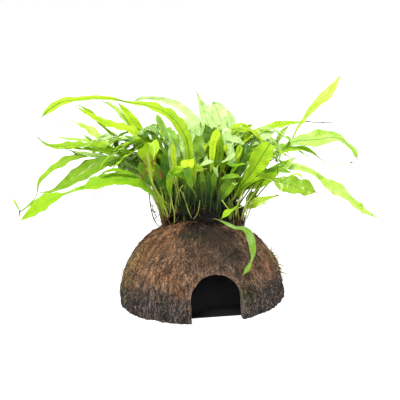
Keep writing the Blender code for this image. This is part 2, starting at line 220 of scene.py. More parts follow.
def new_piece(name, corners, faces, finish, marks=None):
    """A smooth mesh object from arrays, with its marks as attributes, riding on the part."""
    mesh = bpy.data.meshes.new(name)
    mesh.vertices.add(len(corners))
    mesh.vertices.foreach_set("co", np.asarray(corners, np.float32).ravel())
    mesh.loops.add(faces.size)
    mesh.loops.foreach_set("vertex_index", faces.astype(np.int32).ravel())
    mesh.polygons.add(len(faces))
    mesh.polygons.foreach_set("loop_start", np.arange(0, faces.size, faces.shape[1], dtype=np.int32))
    mesh.polygons.foreach_set("use_smooth", np.ones(len(faces), bool))
    mesh.update(calc_edges=True)
    for title, values in (marks or {}).items():
        attribute = mesh.attributes.new(title, "FLOAT_VECTOR", "POINT")
        attribute.data.foreach_set("vector", np.asarray(values, np.float32).ravel())
    mesh.materials.append(finish)
    piece = bpy.data.objects.new(name, mesh)
    bpy.context.scene.collection.objects.link(piece)
    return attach(piece, "root")


def ring_faces(rings, sides):
    """Triangles of a closed tube of rings, a flat cap at its start and one corner at its end."""
    ring, side = np.meshgrid(np.arange(rings - 1), np.arange(sides), indexing="ij")
    beside = (side + 1) % sides
    a, b = ring * sides + side, ring * sides + beside
    c, d = a + sides, b + sides
    walls = np.stack([a, b, d, a, d, c], axis=-1).reshape(-1, 3)
    last = (rings - 1) * sides
    around = np.arange(sides)
    tip = np.stack([last + around, last + (around + 1) % sides, np.full(sides, rings * sides)], axis=-1)
    fan = np.arange(1, sides - 1)
    cap = np.stack([np.zeros_like(fan), fan + 1, fan], axis=-1)
    return np.vstack([walls, tip, cap])


def closed_faces(rings, sides):
    """Triangles of a closed surface: a first corner, rings of corners and a last corner."""
    ring, side = np.meshgrid(np.arange(rings - 1), np.arange(sides), indexing="ij")
    a, b = 1 + ring * sides + side, 1 + ring * sides + (side + 1) % sides
    walls = np.stack([a, a + sides, b + sides, a, b + sides, b], axis=-1).reshape(-1, 3)
    first = 1 + np.arange(sides)
    last = first + (rings - 1) * sides
    top = np.stack([np.zeros_like(first), first, np.roll(first, -1)], axis=-1)
    bottom = np.stack([np.full_like(first, 1 + rings * sides), np.roll(last, -1), last], axis=-1)
    return np.vstack([walls, top, bottom])


def carried(tangents, start):
    """A direction carried along each route without twisting."""
    directions = np.empty_like(tangents)
    direction = start
    for step in range(tangents.shape[1]):
        tangent = tangents[:, step]
        direction = unit(direction - tangent * (direction * tangent).sum(-1, keepdims=True))
        directions[:, step] = direction
    return directions


def strands(routes, radii, sides=3):
    """Closed tapered tubes along many routes of equal count: corners and faces."""
    count, steps, _ = routes.shape
    tangents = unit(np.gradient(routes, axis=1))
    start = np.cross(tangents[:, 0], np.array([0.31, 0.52, 0.80]))
    across = carried(tangents, unit(start))
    up = np.cross(tangents, across)
    angles = 2 * np.pi * np.arange(sides) / sides
    circle = (np.cos(angles)[:, None] * across[:, :-1, None, :]
              + np.sin(angles)[:, None] * up[:, :-1, None, :])
    rings = routes[:, :-1, None, :] + radii[:, :-1, None, None] * circle
    corners = np.concatenate([rings.reshape(count, -1, 3), routes[:, -1:, :]], axis=1)
    pattern = ring_faces(steps - 1, sides)
    offsets = np.arange(count)[:, None, None] * corners.shape[1]
    return corners.reshape(-1, 3), (pattern[None] + offsets).reshape(-1, 3)


def per_corner(values, steps, sides=3):
    """One row of marks a strand, repeated for each of its corners."""
    return np.repeat(values, (steps - 1) * sides + 1, axis=0)


def strand_piece(name, routes, radii, tints, finish):
    """Many strands as one piece, each with its own light, warmth and green."""
    corners, faces = strands(routes, radii * MM)
    marks = {"strand_tint": per_corner(np.stack(tints, axis=1), routes.shape[1])}
    return new_piece(name, corners, faces, finish, marks)


class Heap:
    """Meshes gathered into one piece."""

    def __init__(self):
        self.corners = []
        self.faces = []
        self.marks = {}
        self.count = 0

    def add(self, corners, faces, marks):
        self.corners.append(corners)
        self.faces.append(faces + self.count)
        for title, values in marks.items():
            self.marks.setdefault(title, []).append(values)
        self.count += len(corners)

    def piece(self, name, finish, slot):
        marks = {title: np.vstack(values) for title, values in self.marks.items()}
        return new_piece(name, np.vstack(self.corners), np.vstack(self.faces), finish, marks)


# Materials

class Value:
    """A number or colour that varies over a surface; arithmetic on it adds Math nodes."""

    def __init__(self, finish, socket):
        self.finish = finish
        self.socket = socket

    def math(self, operation, *others):
        values = dict(enumerate((self,) + others))
        return self.finish.node("ShaderNodeMath", {"operation": operation}, values)

    def __add__(self, other):
        return self.math("ADD", other)

    __radd__ = __add__

    def __sub__(self, other):
        return self.math("SUBTRACT", other)

    def __rsub__(self, other):
        return self.finish.node("ShaderNodeMath", {"operation": "SUBTRACT"}, {0: other, 1: self})

    def __mul__(self, other):
        return self.math("MULTIPLY", other)

    __rmul__ = __mul__

    def __truediv__(self, other):
        return self.math("DIVIDE", other)

    def __abs__(self):
        return self.math("ABSOLUTE")

    def clamped(self):
        return self.step(0, 1, smooth=False)

    def step(self, low, high, smooth=True):
        """0 below low, 1 above high."""
        kind = "SMOOTHSTEP" if smooth else "LINEAR"
        return self.finish.node("ShaderNodeMapRange", {"interpolation_type": kind},
                                {0: self, 1: low, 2: high, 3: 0, 4: 1})

    def parts(self):
        return [self.finish.node("ShaderNodeSeparateXYZ", {}, {0: self}, out) for out in range(3)]


class Finish:
    """A material being built. One method adds any node; the others are short names for some."""

    def __init__(self, name):
        self.material = bpy.data.materials.new(name)
        self.material.use_nodes = True
        self.tree = self.material.node_tree
        self.tree.nodes.clear()

    def node(self, kind, settings, values, out=0):
        node = self.tree.nodes.new(kind)
        for title, setting in settings.items():
            if title == "stops":
                self.lay_stops(node.color_ramp, setting)
            else:
                setattr(node, title, setting)
        for title, value in values.items():
            if isinstance(value, Value):
                self.tree.links.new(value.socket, node.inputs[title])
            else:
                node.inputs[title].default_value = value
        return Value(self, node.outputs[out] if len(node.outputs) else None)

    @staticmethod
    def lay_stops(ramp, stops):
        while len(ramp.elements) < len(stops):
            ramp.elements.new(1)
        for element, (place, colour) in zip(ramp.elements, stops):
            element.position = place
            element.color = (*colour, 1)

    def mark(self, title):
        return self.node("ShaderNodeAttribute", {"attribute_name": title}, {}, "Vector")

    def place(self):
        """Where the surface is, mm from the shell's axis at floor level."""
        here = self.node("ShaderNodeTexCoord", {}, {}, "Object")
        metres = self.vector("SUBTRACT", here, tuple(AXIS * MM))
        return self.vector("MULTIPLY", metres, (1 / MM,) * 3)

    def vector(self, operation, first, second):
        return self.node("ShaderNodeVectorMath", {"operation": operation}, {0: first, 1: second})

    def joined(self, x, y, z):
        return self.node("ShaderNodeCombineXYZ", {}, {0: x, 1: y, 2: z})

    def noise(self, place, size, detail=2.0, roughness=0.5):
        return self.node("ShaderNodeTexNoise", {},
                         {"Vector": place, "Scale": 1 / size, "Detail": detail, "Roughness": roughness})

    def mix(self, share, first, second):
        first = (*first, 1) if isinstance(first, tuple) else first
        second = (*second, 1) if isinstance(second, tuple) else second
        return self.node("ShaderNodeMix", {"data_type": "RGBA"}, {0: share, 6: first, 7: second}, 2)

    def ramp(self, value, stops):
        return self.node("ShaderNodeValToRGB", {"stops": stops}, {0: value})

    def bump(self, height, distance, strength=1.0):
        return self.node("ShaderNodeBump", {},
                         {"Height": height, "Distance": distance * MM, "Strength": strength})

    def surface(self, colour, roughness, specular, **others):
        """The principled shader. Other sockets go by their names, with _ for a space."""
        values = {"Base Color": colour, "Roughness": roughness, "Specular IOR Level": specular}
        values.update({title.replace("_", " "): value for title, value in others.items()})
        return self.node("ShaderNodeBsdfPrincipled", {}, values)

    def close(self, shader):
        self.node("ShaderNodeOutputMaterial", {}, {"Surface": shader})
        return self.material


LIME = (0.270, 0.465, 0.006)
GREEN = (0.090, 0.260, 0.006)
DEEP_GREEN = (0.020, 0.085, 0.004)
HEART_SHADE_GREEN = (0.004, 0.016, 0.004)
YELLOW_LIME = (0.640, 0.760, 0.025)
HIGHLIGHT_GREEN = (0.570, 0.740, 0.330)
RIB_DARK = (0.050, 0.150, 0.010)
RIB_PALE = (0.560, 0.700, 0.220)
RUST = (0.190, 0.050, 0.015)
STALK_OLIVE = (0.270, 0.330, 0.035)
STALK_DARK = (0.014, 0.030, 0.006)
STALK_BROWN = (0.050, 0.032, 0.010)
DRY_TIP = (0.080, 0.055, 0.020)
LIME_GLOW = (0.420, 0.720, 0.010, 1)
PALE_GLOW = (0.800, 0.950, 0.500, 1)


def leaf_finish():
    """Thin wet leaf: side veins in chevrons, a fine midrib, light that comes through; painted highlight on
    pale fronds, painted shade low in the middle of the clump.
    """
    make = Finish("leaf")
    along, across, edge = make.mark("leaf_place").parts()
    share, chance, blade = make.mark("leaf_share").parts()
    pale, yellow, deep = make.mark("leaf_tone").parts()
    rib, stain, crinkle = make.mark("leaf_mark").parts()
    place = make.place()
    x, y, z = place.parts()
    off_rib = abs(across)

    mottle = make.noise(place, 8.0, 3.0, 0.6)
    fine = make.noise(make.joined(along * 0.55, across, chance * 40), 1.1, 3.0, 0.6)
    wander = make.noise(make.joined(along, across, chance * 30), 3.0, 1.0)
    phase = (along - off_rib * 0.9 + wander * 1.6) * (2 * math.pi / 2.9)
    veins = phase.math("SINE").step(0.35, 1.0) * edge.step(1.0, 0.75) * blade
    net = make.node("ShaderNodeTexVoronoi", {"feature": "DISTANCE_TO_EDGE"},
                    {"Vector": make.joined(along * 0.7, across, chance * 25), "Scale": 0.75})
    net = net.step(0.16, 0.02) * blade

    young = (share.step(0.15, 0.75) * 0.85 + mottle * 1.1 - 0.35 + (chance - 0.5) * 0.3).clamped()
    colour = make.mix(young, GREEN, LIME)
    shady = (deep + (mottle - 0.5) * 0.6).clamped() * deep.step(0.0, 0.15)
    colour = make.mix(shady, colour, DEEP_GREEN)
    warm = (yellow + (mottle - 0.5) * 0.8).clamped() * yellow.step(0.0, 0.15)
    colour = make.mix(warm, colour, YELLOW_LIME)
    # Pale fronds turn whitish green: painted highlight, where the light washes them out; they also let paler
    # light through.
    highlight_share = (pale * 1.15 + (mottle - 0.5) * 1.2).clamped() * pale.step(0.0, 0.15)
    colour = make.mix(highlight_share, colour, HIGHLIGHT_GREEN)
    colour = make.mix(veins * (0.18 + highlight_share * 0.25), colour, GREEN)
    colour = make.mix(net * (0.08 + highlight_share * 0.15), colour, GREEN)
    colour = make.mix((fine - 0.45).clamped() * 0.6, colour, YELLOW_LIME)
    midrib = off_rib.step(0.55, 0.15) * blade
    colour = make.mix(midrib * rib.clamped(), colour, RIB_DARK)
    colour = make.mix(midrib * (rib * -1).clamped(), colour, RIB_PALE)
    blotch = make.noise(make.joined(along, across, 3.0), 3.2, 3.0, 0.65)
    stained = share.step(0.30, 0.38) * share.step(0.70, 0.60) * off_rib.step(0.6, 1.8) * stain
    colour = make.mix(blotch.step(0.44, 0.54) * stained, colour, RUST)
    stalk = make.mix(share.step(0.02, 0.14), STALK_BROWN, STALK_OLIVE)
    stalk = make.mix((fine - 0.3).clamped() * 0.7, stalk, LIME)
    stalk = make.mix(chance.step(0.50, 0.62), stalk, STALK_DARK)
    colour = make.mix(blade.step(0.0, 0.8), stalk, colour)
    # Painted shade low in the middle of the clump, on blades and more on stalks, whose feet are partly dark
    # of their own; there the leaf is also less glossy and lets less light through.
    shaded_middle = (((x - 4) / 30) * ((x - 4) / 30) + ((y - 6) / 30) * ((y - 6) / 30)).step(1.15, 0.55)
    heart_shade = shaded_middle * (z + mottle * 16).step(116, 88)
    colour = make.mix(heart_shade * (blade * 0.35 + 0.60), colour, HEART_SHADE_GREEN)
    dry = share.step(0.955, 0.995) * chance.step(0.45, 0.55)
    colour = make.mix(dry * 0.8, colour, DRY_TIP)

    height = veins * 0.30 + net * 0.25 + fine * 0.45 + mottle * 0.3 - midrib * 0.5
    normal = make.bump(height, 0.5, 0.7)
    wet = blade * (1 - heart_shade) * crinkle.step(2.0, 3.6) * 0.5
    body = make.surface(colour, (fine * 0.2 + 0.35 + heart_shade * 0.4).clamped(), 0.2, Normal=normal,
                        Coat_Weight=wet, Coat_Roughness=0.15)
    lime_glow = make.node("ShaderNodeBsdfTranslucent", {}, {"Color": LIME_GLOW})
    pale_glow = make.node("ShaderNodeBsdfTranslucent", {}, {"Color": PALE_GLOW})
    through = make.node("ShaderNodeMixShader", {}, {0: highlight_share, 1: lime_glow, 2: pale_glow})
    thin = blade * (1 - heart_shade * 0.9) * (0.42 - deep * 0.25)
    blend = make.node("ShaderNodeMixShader", {}, {0: thin.clamped(), 1: body, 2: through})
    return make.close(blend)


HUSK_DARK = (0.009, 0.006, 0.004)
HUSK_BROWN = (0.062, 0.038, 0.026)
HUSK_TAN = (0.310, 0.200, 0.125)
HUSK_RUST = (0.230, 0.090, 0.030)
HUSK_RIM_GOLD = (0.300, 0.155, 0.035)
STRAND_TAN = (0.440, 0.310, 0.190)
ROOT_DARK = (0.004, 0.003, 0.002)
HUSK_GREY = (0.150, 0.125, 0.112)
HUSK_LOW_SHADE = (0.016, 0.013, 0.013)
HUSK_SHADE = (0.016, 0.013, 0.006)
MOSS = (0.110, 0.110, 0.020)
LINING = (0.300, 0.300, 0.320)
STRAND_RUST = (0.290, 0.120, 0.040)
STRAND_GREY_DARK = (0.010, 0.010, 0.011)
STRAND_GREY = (0.200, 0.175, 0.165)
STRAND_GREEN = (0.340, 0.430, 0.050)
MAT_SHADE_TONES = [(0.38, (0.001, 0.001, 0.001)), (0.60, (0.004, 0.003, 0.003)), (0.80, (0.016, 0.010, 0.006))]
STEM_SHADE_TONES = [(0.36, (0.006, 0.005, 0.003)), (0.52, (0.020, 0.020, 0.006)), (0.68, (0.060, 0.070, 0.014))]
STEM_SCALE = (0.040, 0.018, 0.007)
CARD_FRONT = (0.009, 0.009, 0.010)
CARD_BACK = (0.230, 0.230, 0.245)
FLOOR_GREY = (0.30, 0.30, 0.30)
FLOOR_GLOW = 0.80


def shell_places(make):
    """Place, height and the place wound round the shell so that lines run from crown to rim."""
    place = make.place()
    x, y, z = place.parts()
    level = (x * x + y * y).math("SQRT") + 0.001
    wound = make.joined(x / level * SHELL_RADIUS, y / level * SHELL_RADIUS, z * 0.10)
    return place, x, y, z, wound


def husk_finish():
    """Matted husk: fine strands from crown to rim, rusty above, grey near the rim; painted shade near the rim
    and in patches, painted rim light at the sides.
    """
    make = Finish("husk")
    place, x, y, z, wound = shell_places(make)
    bend = make.noise(place, 7.0, 2.0)
    bent = make.vector("ADD", wound, make.joined(bend * 3, bend * -3, bend * 0.4))
    coarse = make.noise(bent, 1.6, 2.0, 0.6)
    fine = make.noise(bent, 0.9, 2.0, 0.6)
    grain = make.noise(place, 0.8, 2.0, 0.6)
    patch = make.noise(place, 16.0, 3.0, 0.6)

    thread = (coarse * 0.40 + fine * 0.40 + grain * 0.40 - 0.10).clamped()
    colour = make.ramp(thread, [(0.40, HUSK_DARK), (0.53, HUSK_BROWN), (0.72, HUSK_TAN)])
    left = (abs(x) - x * 0.35 - y * 0.25).step(0, 60)
    clouds = make.noise(place, 9.0, 3.0, 0.6)
    rusty = (left * (1.0 - z.step(34, 56) * 0.28) + clouds * 1.5 - 0.80).clamped() * z.step(12, 30)
    rust = make.mix(grain.step(0.42, 0.62), HUSK_RUST, HUSK_TAN)
    colour = make.mix(rusty * fine.step(0.30, 0.50), colour, rust)
    # Low on the shell the husk turns grey and near black: grey husk, and painted shade near the rim.
    low = (patch * 34 - z + 6).step(-12, 13)
    colour = make.mix(low * 0.80, colour, make.mix(thread.step(0.42, 0.66), HUSK_LOW_SHADE, HUSK_GREY))
    damp = clouds.step(0.50, 0.66) * z.step(18, 34)
    colour = make.mix(damp * 0.50, colour, HUSK_DARK)
    moss = make.noise(place, 5.0, 4.0, 0.7).step(0.60, 0.72) * 0.30
    colour = make.mix(moss.clamped(), colour, MOSS)
    # Gold at the shell's left and right outline: painted rim light.
    outline = abs(x).step(24, 44) * (y + patch * 20 - 10).step(-34, -10) * y.step(30, 6) * z.step(12, 24)
    colour = make.mix(outline * fine.step(0.40, 0.60) * 0.6, colour, HUSK_RIM_GOLD)
    # The first two kinds of patch are painted shade; the rusty and mossy ones are the husk's own colour.
    for spots, tone, most in ((DIM_SHADE_SPOTS, HUSK_SHADE, 0.30), (SHADE_SPOTS, HUSK_SHADE, 0.95), (RUSTY, HUSK_RUST, 0.55),
                              (MOSSY, MOSS, 0.40)):
        for spot, radius in spots:
            middle = tuple(from_fern(spot) / MM - AXIS)
            reach = make.node("ShaderNodeVectorMath", {"operation": "DISTANCE"}, {0: place, 1: middle}, 1)
            share = ((reach + patch * 16 - 8) / radius).step(1.2, 0.4)
            colour = make.mix(share * thread.step(0.30, 0.60) * most, colour, tone)

    hollow = (1 - (x * x + y * y) / SHELL_RADIUS ** 2
              - (z - SHELL_MIDDLE).math("POWER", 2.0) / SHELL_HALF_HEIGHT ** 2).step(0.160, 0.172)
    colour = make.mix(hollow, colour, LINING)
    normal = make.bump(coarse * 0.5 + fine * 0.5 + grain * 0.5, 1.1, 1.0)
    return make.close(make.surface(colour, fine * 0.15 + 0.78, 0.25, Normal=normal))


def fibre_finish(name, gloss, dark):
    """Single strands: mark strand_tint holds lightness, warmth (below 0 it is grey) and green."""
    make = Finish(name)
    light, warm, green = make.mark("strand_tint").parts()
    grain = make.noise(make.place(), 1.3, 2.0)
    colour = make.mix(light, dark, STRAND_TAN)
    colour = make.mix(warm.clamped() * light.step(-0.2, 0.6), colour, STRAND_RUST)
    colour = make.mix((warm * -1).clamped(), colour, make.mix(light, STRAND_GREY_DARK, STRAND_GREY))
    colour = make.mix(green, colour, STRAND_GREEN)
    colour = make.mix(grain * 0.5, colour, dark)
    return make.close(make.surface(colour, grain * 0.2 + (0.75 - gloss), 0.3))


def mat_finish():
    """Felt of old roots, near black: black-brown roots, with painted shade under the foliage."""
    make = Finish("root mat")
    place = make.place()
    coarse = make.noise(place, 3.5, 4.0, 0.7)
    fine = make.noise(place, 0.8, 3.0, 0.7)
    colour = make.ramp(coarse * 0.5 + fine * 0.5, MAT_SHADE_TONES)
    normal = make.bump(coarse * 0.6 + fine * 0.5, 1.2, 1.0)
    return make.close(make.surface(colour, fine * 0.2 + 0.75, 0.2, Normal=normal))


def rhizome_finish():
    """Creeping stem, scaly with rusty scales; near black to dark olive in patches: a green-brown stem with
    painted shade under the foliage.
    """
    make = Finish("rhizome")
    place = make.place()
    scale = make.node("ShaderNodeTexVoronoi", {"feature": "F1"}, {"Vector": place, "Scale": 0.8})
    patch = make.noise(place, 4.0, 3.0, 0.6)
    colour = make.mix(scale.step(0.45, 0.85), make.ramp(patch, STEM_SHADE_TONES), STEM_SCALE)
    normal = make.bump(scale * 0.6 + patch * 0.4, 0.6, 0.9)
    return make.close(make.surface(colour, patch * 0.3 + 0.45, 0.5, Normal=normal))


def card_finish():
    """Painted shade under the cave: a dark card, darkest at the doorway, where the light falls on it, so that
    it looks even.
    """
    make = Finish("painted shade card")
    back = make.place().parts()[1].step(-46, 14)
    colour = make.mix(back, CARD_FRONT, CARD_BACK)
    return make.close(make.surface(colour, 1.0, 0.0))


def floor_finish():
    """White ground that glows, so that it takes no shadow."""
    make = Finish("floor")
    grain = make.noise(make.place(), 40.0, 2.0)
    tone = make.mix(grain * 0.02, FLOOR_GREY, tuple(0.9 * part for part in FLOOR_GREY))
    return make.close(make.surface(tone, 0.9, 0.1, Emission_Color=(1, 1, 1, 1),
                                   Emission_Strength=FLOOR_GLOW))


# Shell

def dome_direction(azimuth, polar):
    level = np.sin(polar)
    return np.stack([level * np.cos(azimuth), level * np.sin(azimuth), np.cos(polar)], axis=-1)


def dome_place(direction, offset):
    """A place on the dome, moved out by an offset, about the shell's axis."""
    offset = np.asarray(offset)[..., None]
    size = np.array([SHELL_RADIUS, SHELL_RADIUS, SHELL_HALF_HEIGHT]) + offset
    return direction * size + np.array([0, 0, SHELL_MIDDLE])


def node_tree(name):
    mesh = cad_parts[name].data
    return BVHTree.FromPolygons([vertex.co.copy() for vertex in mesh.vertices],
                                [face.vertices[:] for face in mesh.polygons])


def read_lumps():
    """How far the part's shell stands off the plain dome, on a net of azimuth and polar angle."""
    tree = node_tree("coconut_shell")
    middle = from_shell([0, 0, SHELL_MIDDLE])
    lumps = np.zeros((LUMP_RINGS, LUMP_SIDES))
    for ring, polar in enumerate(np.linspace(0, RIM_ANGLE, LUMP_RINGS)):
        for side, azimuth in enumerate(2 * np.pi * np.arange(LUMP_SIDES) / LUMP_SIDES):
            direction = dome_direction(azimuth, polar)
            plain = dome_place(direction, 0.0)
            out = unit(from_shell(plain) - middle)
            start = middle + out * 2 * SHELL_RADIUS * MM
            hit = tree.ray_cast(Vector(start), Vector(-out))[0]
            if hit is not None:
                stands = np.linalg.norm(np.array(hit) - middle) - np.linalg.norm(from_shell(plain) - middle)
                if abs(stands) < MOST_LUMP * MM:
                    lumps[ring, side] = stands / MM
    around = (np.roll(lumps, 1, axis=1) + 2 * lumps + np.roll(lumps, -1, axis=1)) / 4
    padded = np.vstack([around[:1], around, around[-1:]])
    return (padded[:-2] + 2 * padded[1:-1] + padded[2:]) / 4


LUMPS = read_lumps()


# Patches of the husk, each a place in the fern's frame and a radius. Painted shade, dark: under the foliage,
# the mat and the hanging frond
SHADE_SPOTS = [((-6, -26, 62), 12), ((6, -29, 61), 15), ((18, -33, 57), 15), ((27, -38, 49), 10),
        ((30, -50, 38), 7), ((36, -54, 20), 8), ((20, -47, 48), 9), ((14, -55, 41), 6),
        ((-20, -26, 59), 4), ((-23, -40, 50), 4), ((-26, -48, 38), 4)]
# Painted shade, less dark, over the door
DIM_SHADE_SPOTS = [((-10, -54, 44), 17), ((22, -52, 40), 15), ((4, -48, 50), 14)]
# Rusty
RUSTY = [((-50, -24, 41), 10), ((-33, -49, 36), 8), ((-38, -14, 54), 9), ((-56, -28, 22), 6),
         ((-18, -58, 24), 5), ((54, -26, 32), 9), ((60, -16, 24), 7)]
# Mossy
MOSSY = [((34, -56, 16), 10), ((-4, -30, 60), 9), ((-57, -12, 34), 7)]


def near_spots(places, spots):
    """How much places about the shell's axis lie in some of its patches."""
    share = np.zeros(places.shape[:-1])
    for spot, radius in spots:
        middle = from_fern(spot) / MM - AXIS
        ragged = np.linalg.norm(places - middle, axis=-1) + 5 * noise(places, 6.0)
        share = np.maximum(share, 1 - smooth_step(0.45, 1.1, ragged / radius))
    return share


def husk_offset(azimuth, polar):
    """The husk's surface over the plain dome: the part's lumps, then ridges and pits."""
    ring = np.clip(polar / RIM_ANGLE, 0, 1) * (LUMP_RINGS - 1)
    side = (azimuth / (2 * np.pi) % 1) * LUMP_SIDES
    low_ring = np.minimum(ring.astype(int), LUMP_RINGS - 2)
    low_side = side.astype(int) % LUMP_SIDES
    next_side = (low_side + 1) % LUMP_SIDES
    u = smooth_step(0, 1, ring - low_ring)
    v = smooth_step(0, 1, side - np.floor(side))
    own = ((LUMPS[low_ring, low_side] * (1 - u) + LUMPS[low_ring + 1, low_side] * u) * (1 - v)
           + (LUMPS[low_ring, next_side] * (1 - u) + LUMPS[low_ring + 1, next_side] * u) * v)
    direction = dome_direction(azimuth, polar)
    place = direction * SHELL_RADIUS
    bend = noise(place, 11.0) * 1.6
    wound = np.stack([np.cos(azimuth) * SHELL_RADIUS + bend, np.sin(azimuth) * SHELL_RADIUS - bend,
                      polar * SHELL_RADIUS * 0.14], axis=-1)
    ridges = 0.50 * noise(wound, 3.2) + 0.50 * noise(wound + 40, 1.5)
    pits = 0.24 * noise(place, 1.5) + 0.45 * noise(place + 70, 5.0)
    cracks = smooth_step(0.16, 0, np.abs(noise(wound + 90, 3.0) + 0.4 * noise(place + 20, 2.0)))
    calm = smooth_step(0, 4, polar * SHELL_RADIUS)
    return own + (1.60 * (ridges + pits) - 0.9 * cracks) * calm - 0.20


def build_shell(finish):
    """The whole shell: husk outside, lining inside, flat rim, and the door cut through."""
    azimuth = 2 * np.pi * np.arange(SHELL_SIDES) / SHELL_SIDES
    outer_polar = np.linspace(0, RIM_ANGLE, HUSK_RINGS + 1)[1:]
    inner_polar = np.linspace(RIM_ANGLE, 0, LINING_RINGS + 1)[:-1]
    rows = [dome_place(dome_direction(np.zeros(1), np.zeros(1)), np.zeros(1))]
    for polar in outer_polar:
        angles = np.full(SHELL_SIDES, polar)
        ring = dome_place(dome_direction(azimuth, angles), husk_offset(azimuth, angles))
        if polar == RIM_ANGLE:
            ring[:, 2] = 0
        rows.append(ring)
    for polar in inner_polar:
        angles = np.full(SHELL_SIDES, polar)
        rough = 0.25 * noise(dome_direction(azimuth, angles) * SHELL_RADIUS, 6.0)
        ring = dome_place(dome_direction(azimuth, angles), rough - SHELL_WALL)
        if polar == RIM_ANGLE:
            ring[:, 2] = 0
        rows.append(ring)
    rows.append(dome_place(dome_direction(np.zeros(1), np.zeros(1)), np.full(1, -SHELL_WALL)))
    faces = closed_faces(HUSK_RINGS + LINING_RINGS, SHELL_SIDES)
    piece = new_piece("shell", from_shell(np.vstack(rows)), faces, finish)
    cut_door(piece)
    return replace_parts(piece, "coconut_shell")


def cut_door(piece):
    """Cuts the arched door with an exact Boolean and keeps only its result."""
    half = DOOR_WIDTH / 2
    spring = DOOR_HEIGHT - half
    outline = [(half, -SHELL_WALL)]
    for angle in np.linspace(0, math.pi, DOOR_ARC_STEPS):
        outline.append((half * math.cos(angle), spring + half * math.sin(angle)))
    outline.append((-half, -SHELL_WALL))
    block = bmesh.new()
    near = [block.verts.new(from_shell([x, -CUTTER_FRONT * SHELL_RADIUS, z])) for x, z in outline]
    face = block.faces.new(near)
    grown = bmesh.ops.extrude_face_region(block, geom=[face])["geom"]
    moved = [part for part in grown if isinstance(part, bmesh.types.BMVert)]
    bmesh.ops.translate(block, verts=moved, vec=Vector((0, CUTTER_DEPTH * SHELL_RADIUS * MM, 0)))
    bmesh.ops.recalc_face_normals(block, faces=block.faces)
    mesh = bpy.data.meshes.new("door cutter")
    block.to_mesh(mesh)
    block.free()
    cutter = bpy.data.objects.new("door cutter", mesh)
    bpy.context.scene.collection.objects.link(cutter)
    boolean = piece.modifiers.new("door", "BOOLEAN")
    boolean.operation = "DIFFERENCE"
    boolean.solver = "EXACT"
    boolean.object = cutter
    bpy.context.view_layer.update()
    result = bpy.data.meshes.new_from_object(piece.evaluated_get(bpy.context.evaluated_depsgraph_get()))
    piece.modifiers.clear()
    piece.data = in_order(result)
    piece.data.set_sharp_from_angle(angle=SHARP_ANGLE)
    bpy.data.objects.remove(cutter, do_unlink=True)


def in_order(cut):
    """The cut mesh again, its faces in a fixed order; the Boolean's order changes between runs."""
    faces = []
    for face in cut.polygons:
        ring = list(face.vertices)
        first = ring.index(min(ring))
        faces.append(ring[first:] + ring[:first])
    mesh = bpy.data.meshes.new("shell")
    mesh.from_pydata([corner.co for corner in cut.vertices], [], sorted(faces))
    mesh.polygons.foreach_set("use_smooth", np.ones(len(faces), bool))
    mesh.materials.append(cut.materials[0])
    return mesh


def in_door(places, margin):
    """Which places about the shell's axis lie in the doorway or nearer to it than the margin."""
    half = DOOR_WIDTH / 2
    spring = DOOR_HEIGHT - half
    x, y, z = np.moveaxis(places, -1, 0)
    rise = np.maximum(z - spring, 0)
    return (np.hypot(x, rise) < half + margin) & (y < 0)


# Strands on the husk. lift: how high they lie. wander: how much they turn from the line from
# crown to rim. steps: corners along each. Lengths, radii and lifts run between two measures.
Fibres = namedtuple("Fibres", "count seed lift length radius wander steps")
HUSK_FIBRES = {
    "husk_strands": Fibres(1700, 17, (0, 0.5), (5, 16), (0.15, 0.32), 0.30, 6),
    "husk_fibres": Fibres(5600, 11, (0, 0.5), (3, 8), (0.11, 0.24), 0.60, 5),
    "husk_cross_fibres": Fibres(3600, 13, (0.1, 0.8), (2, 6), (0.10, 0.20), 1.3, 4),
}


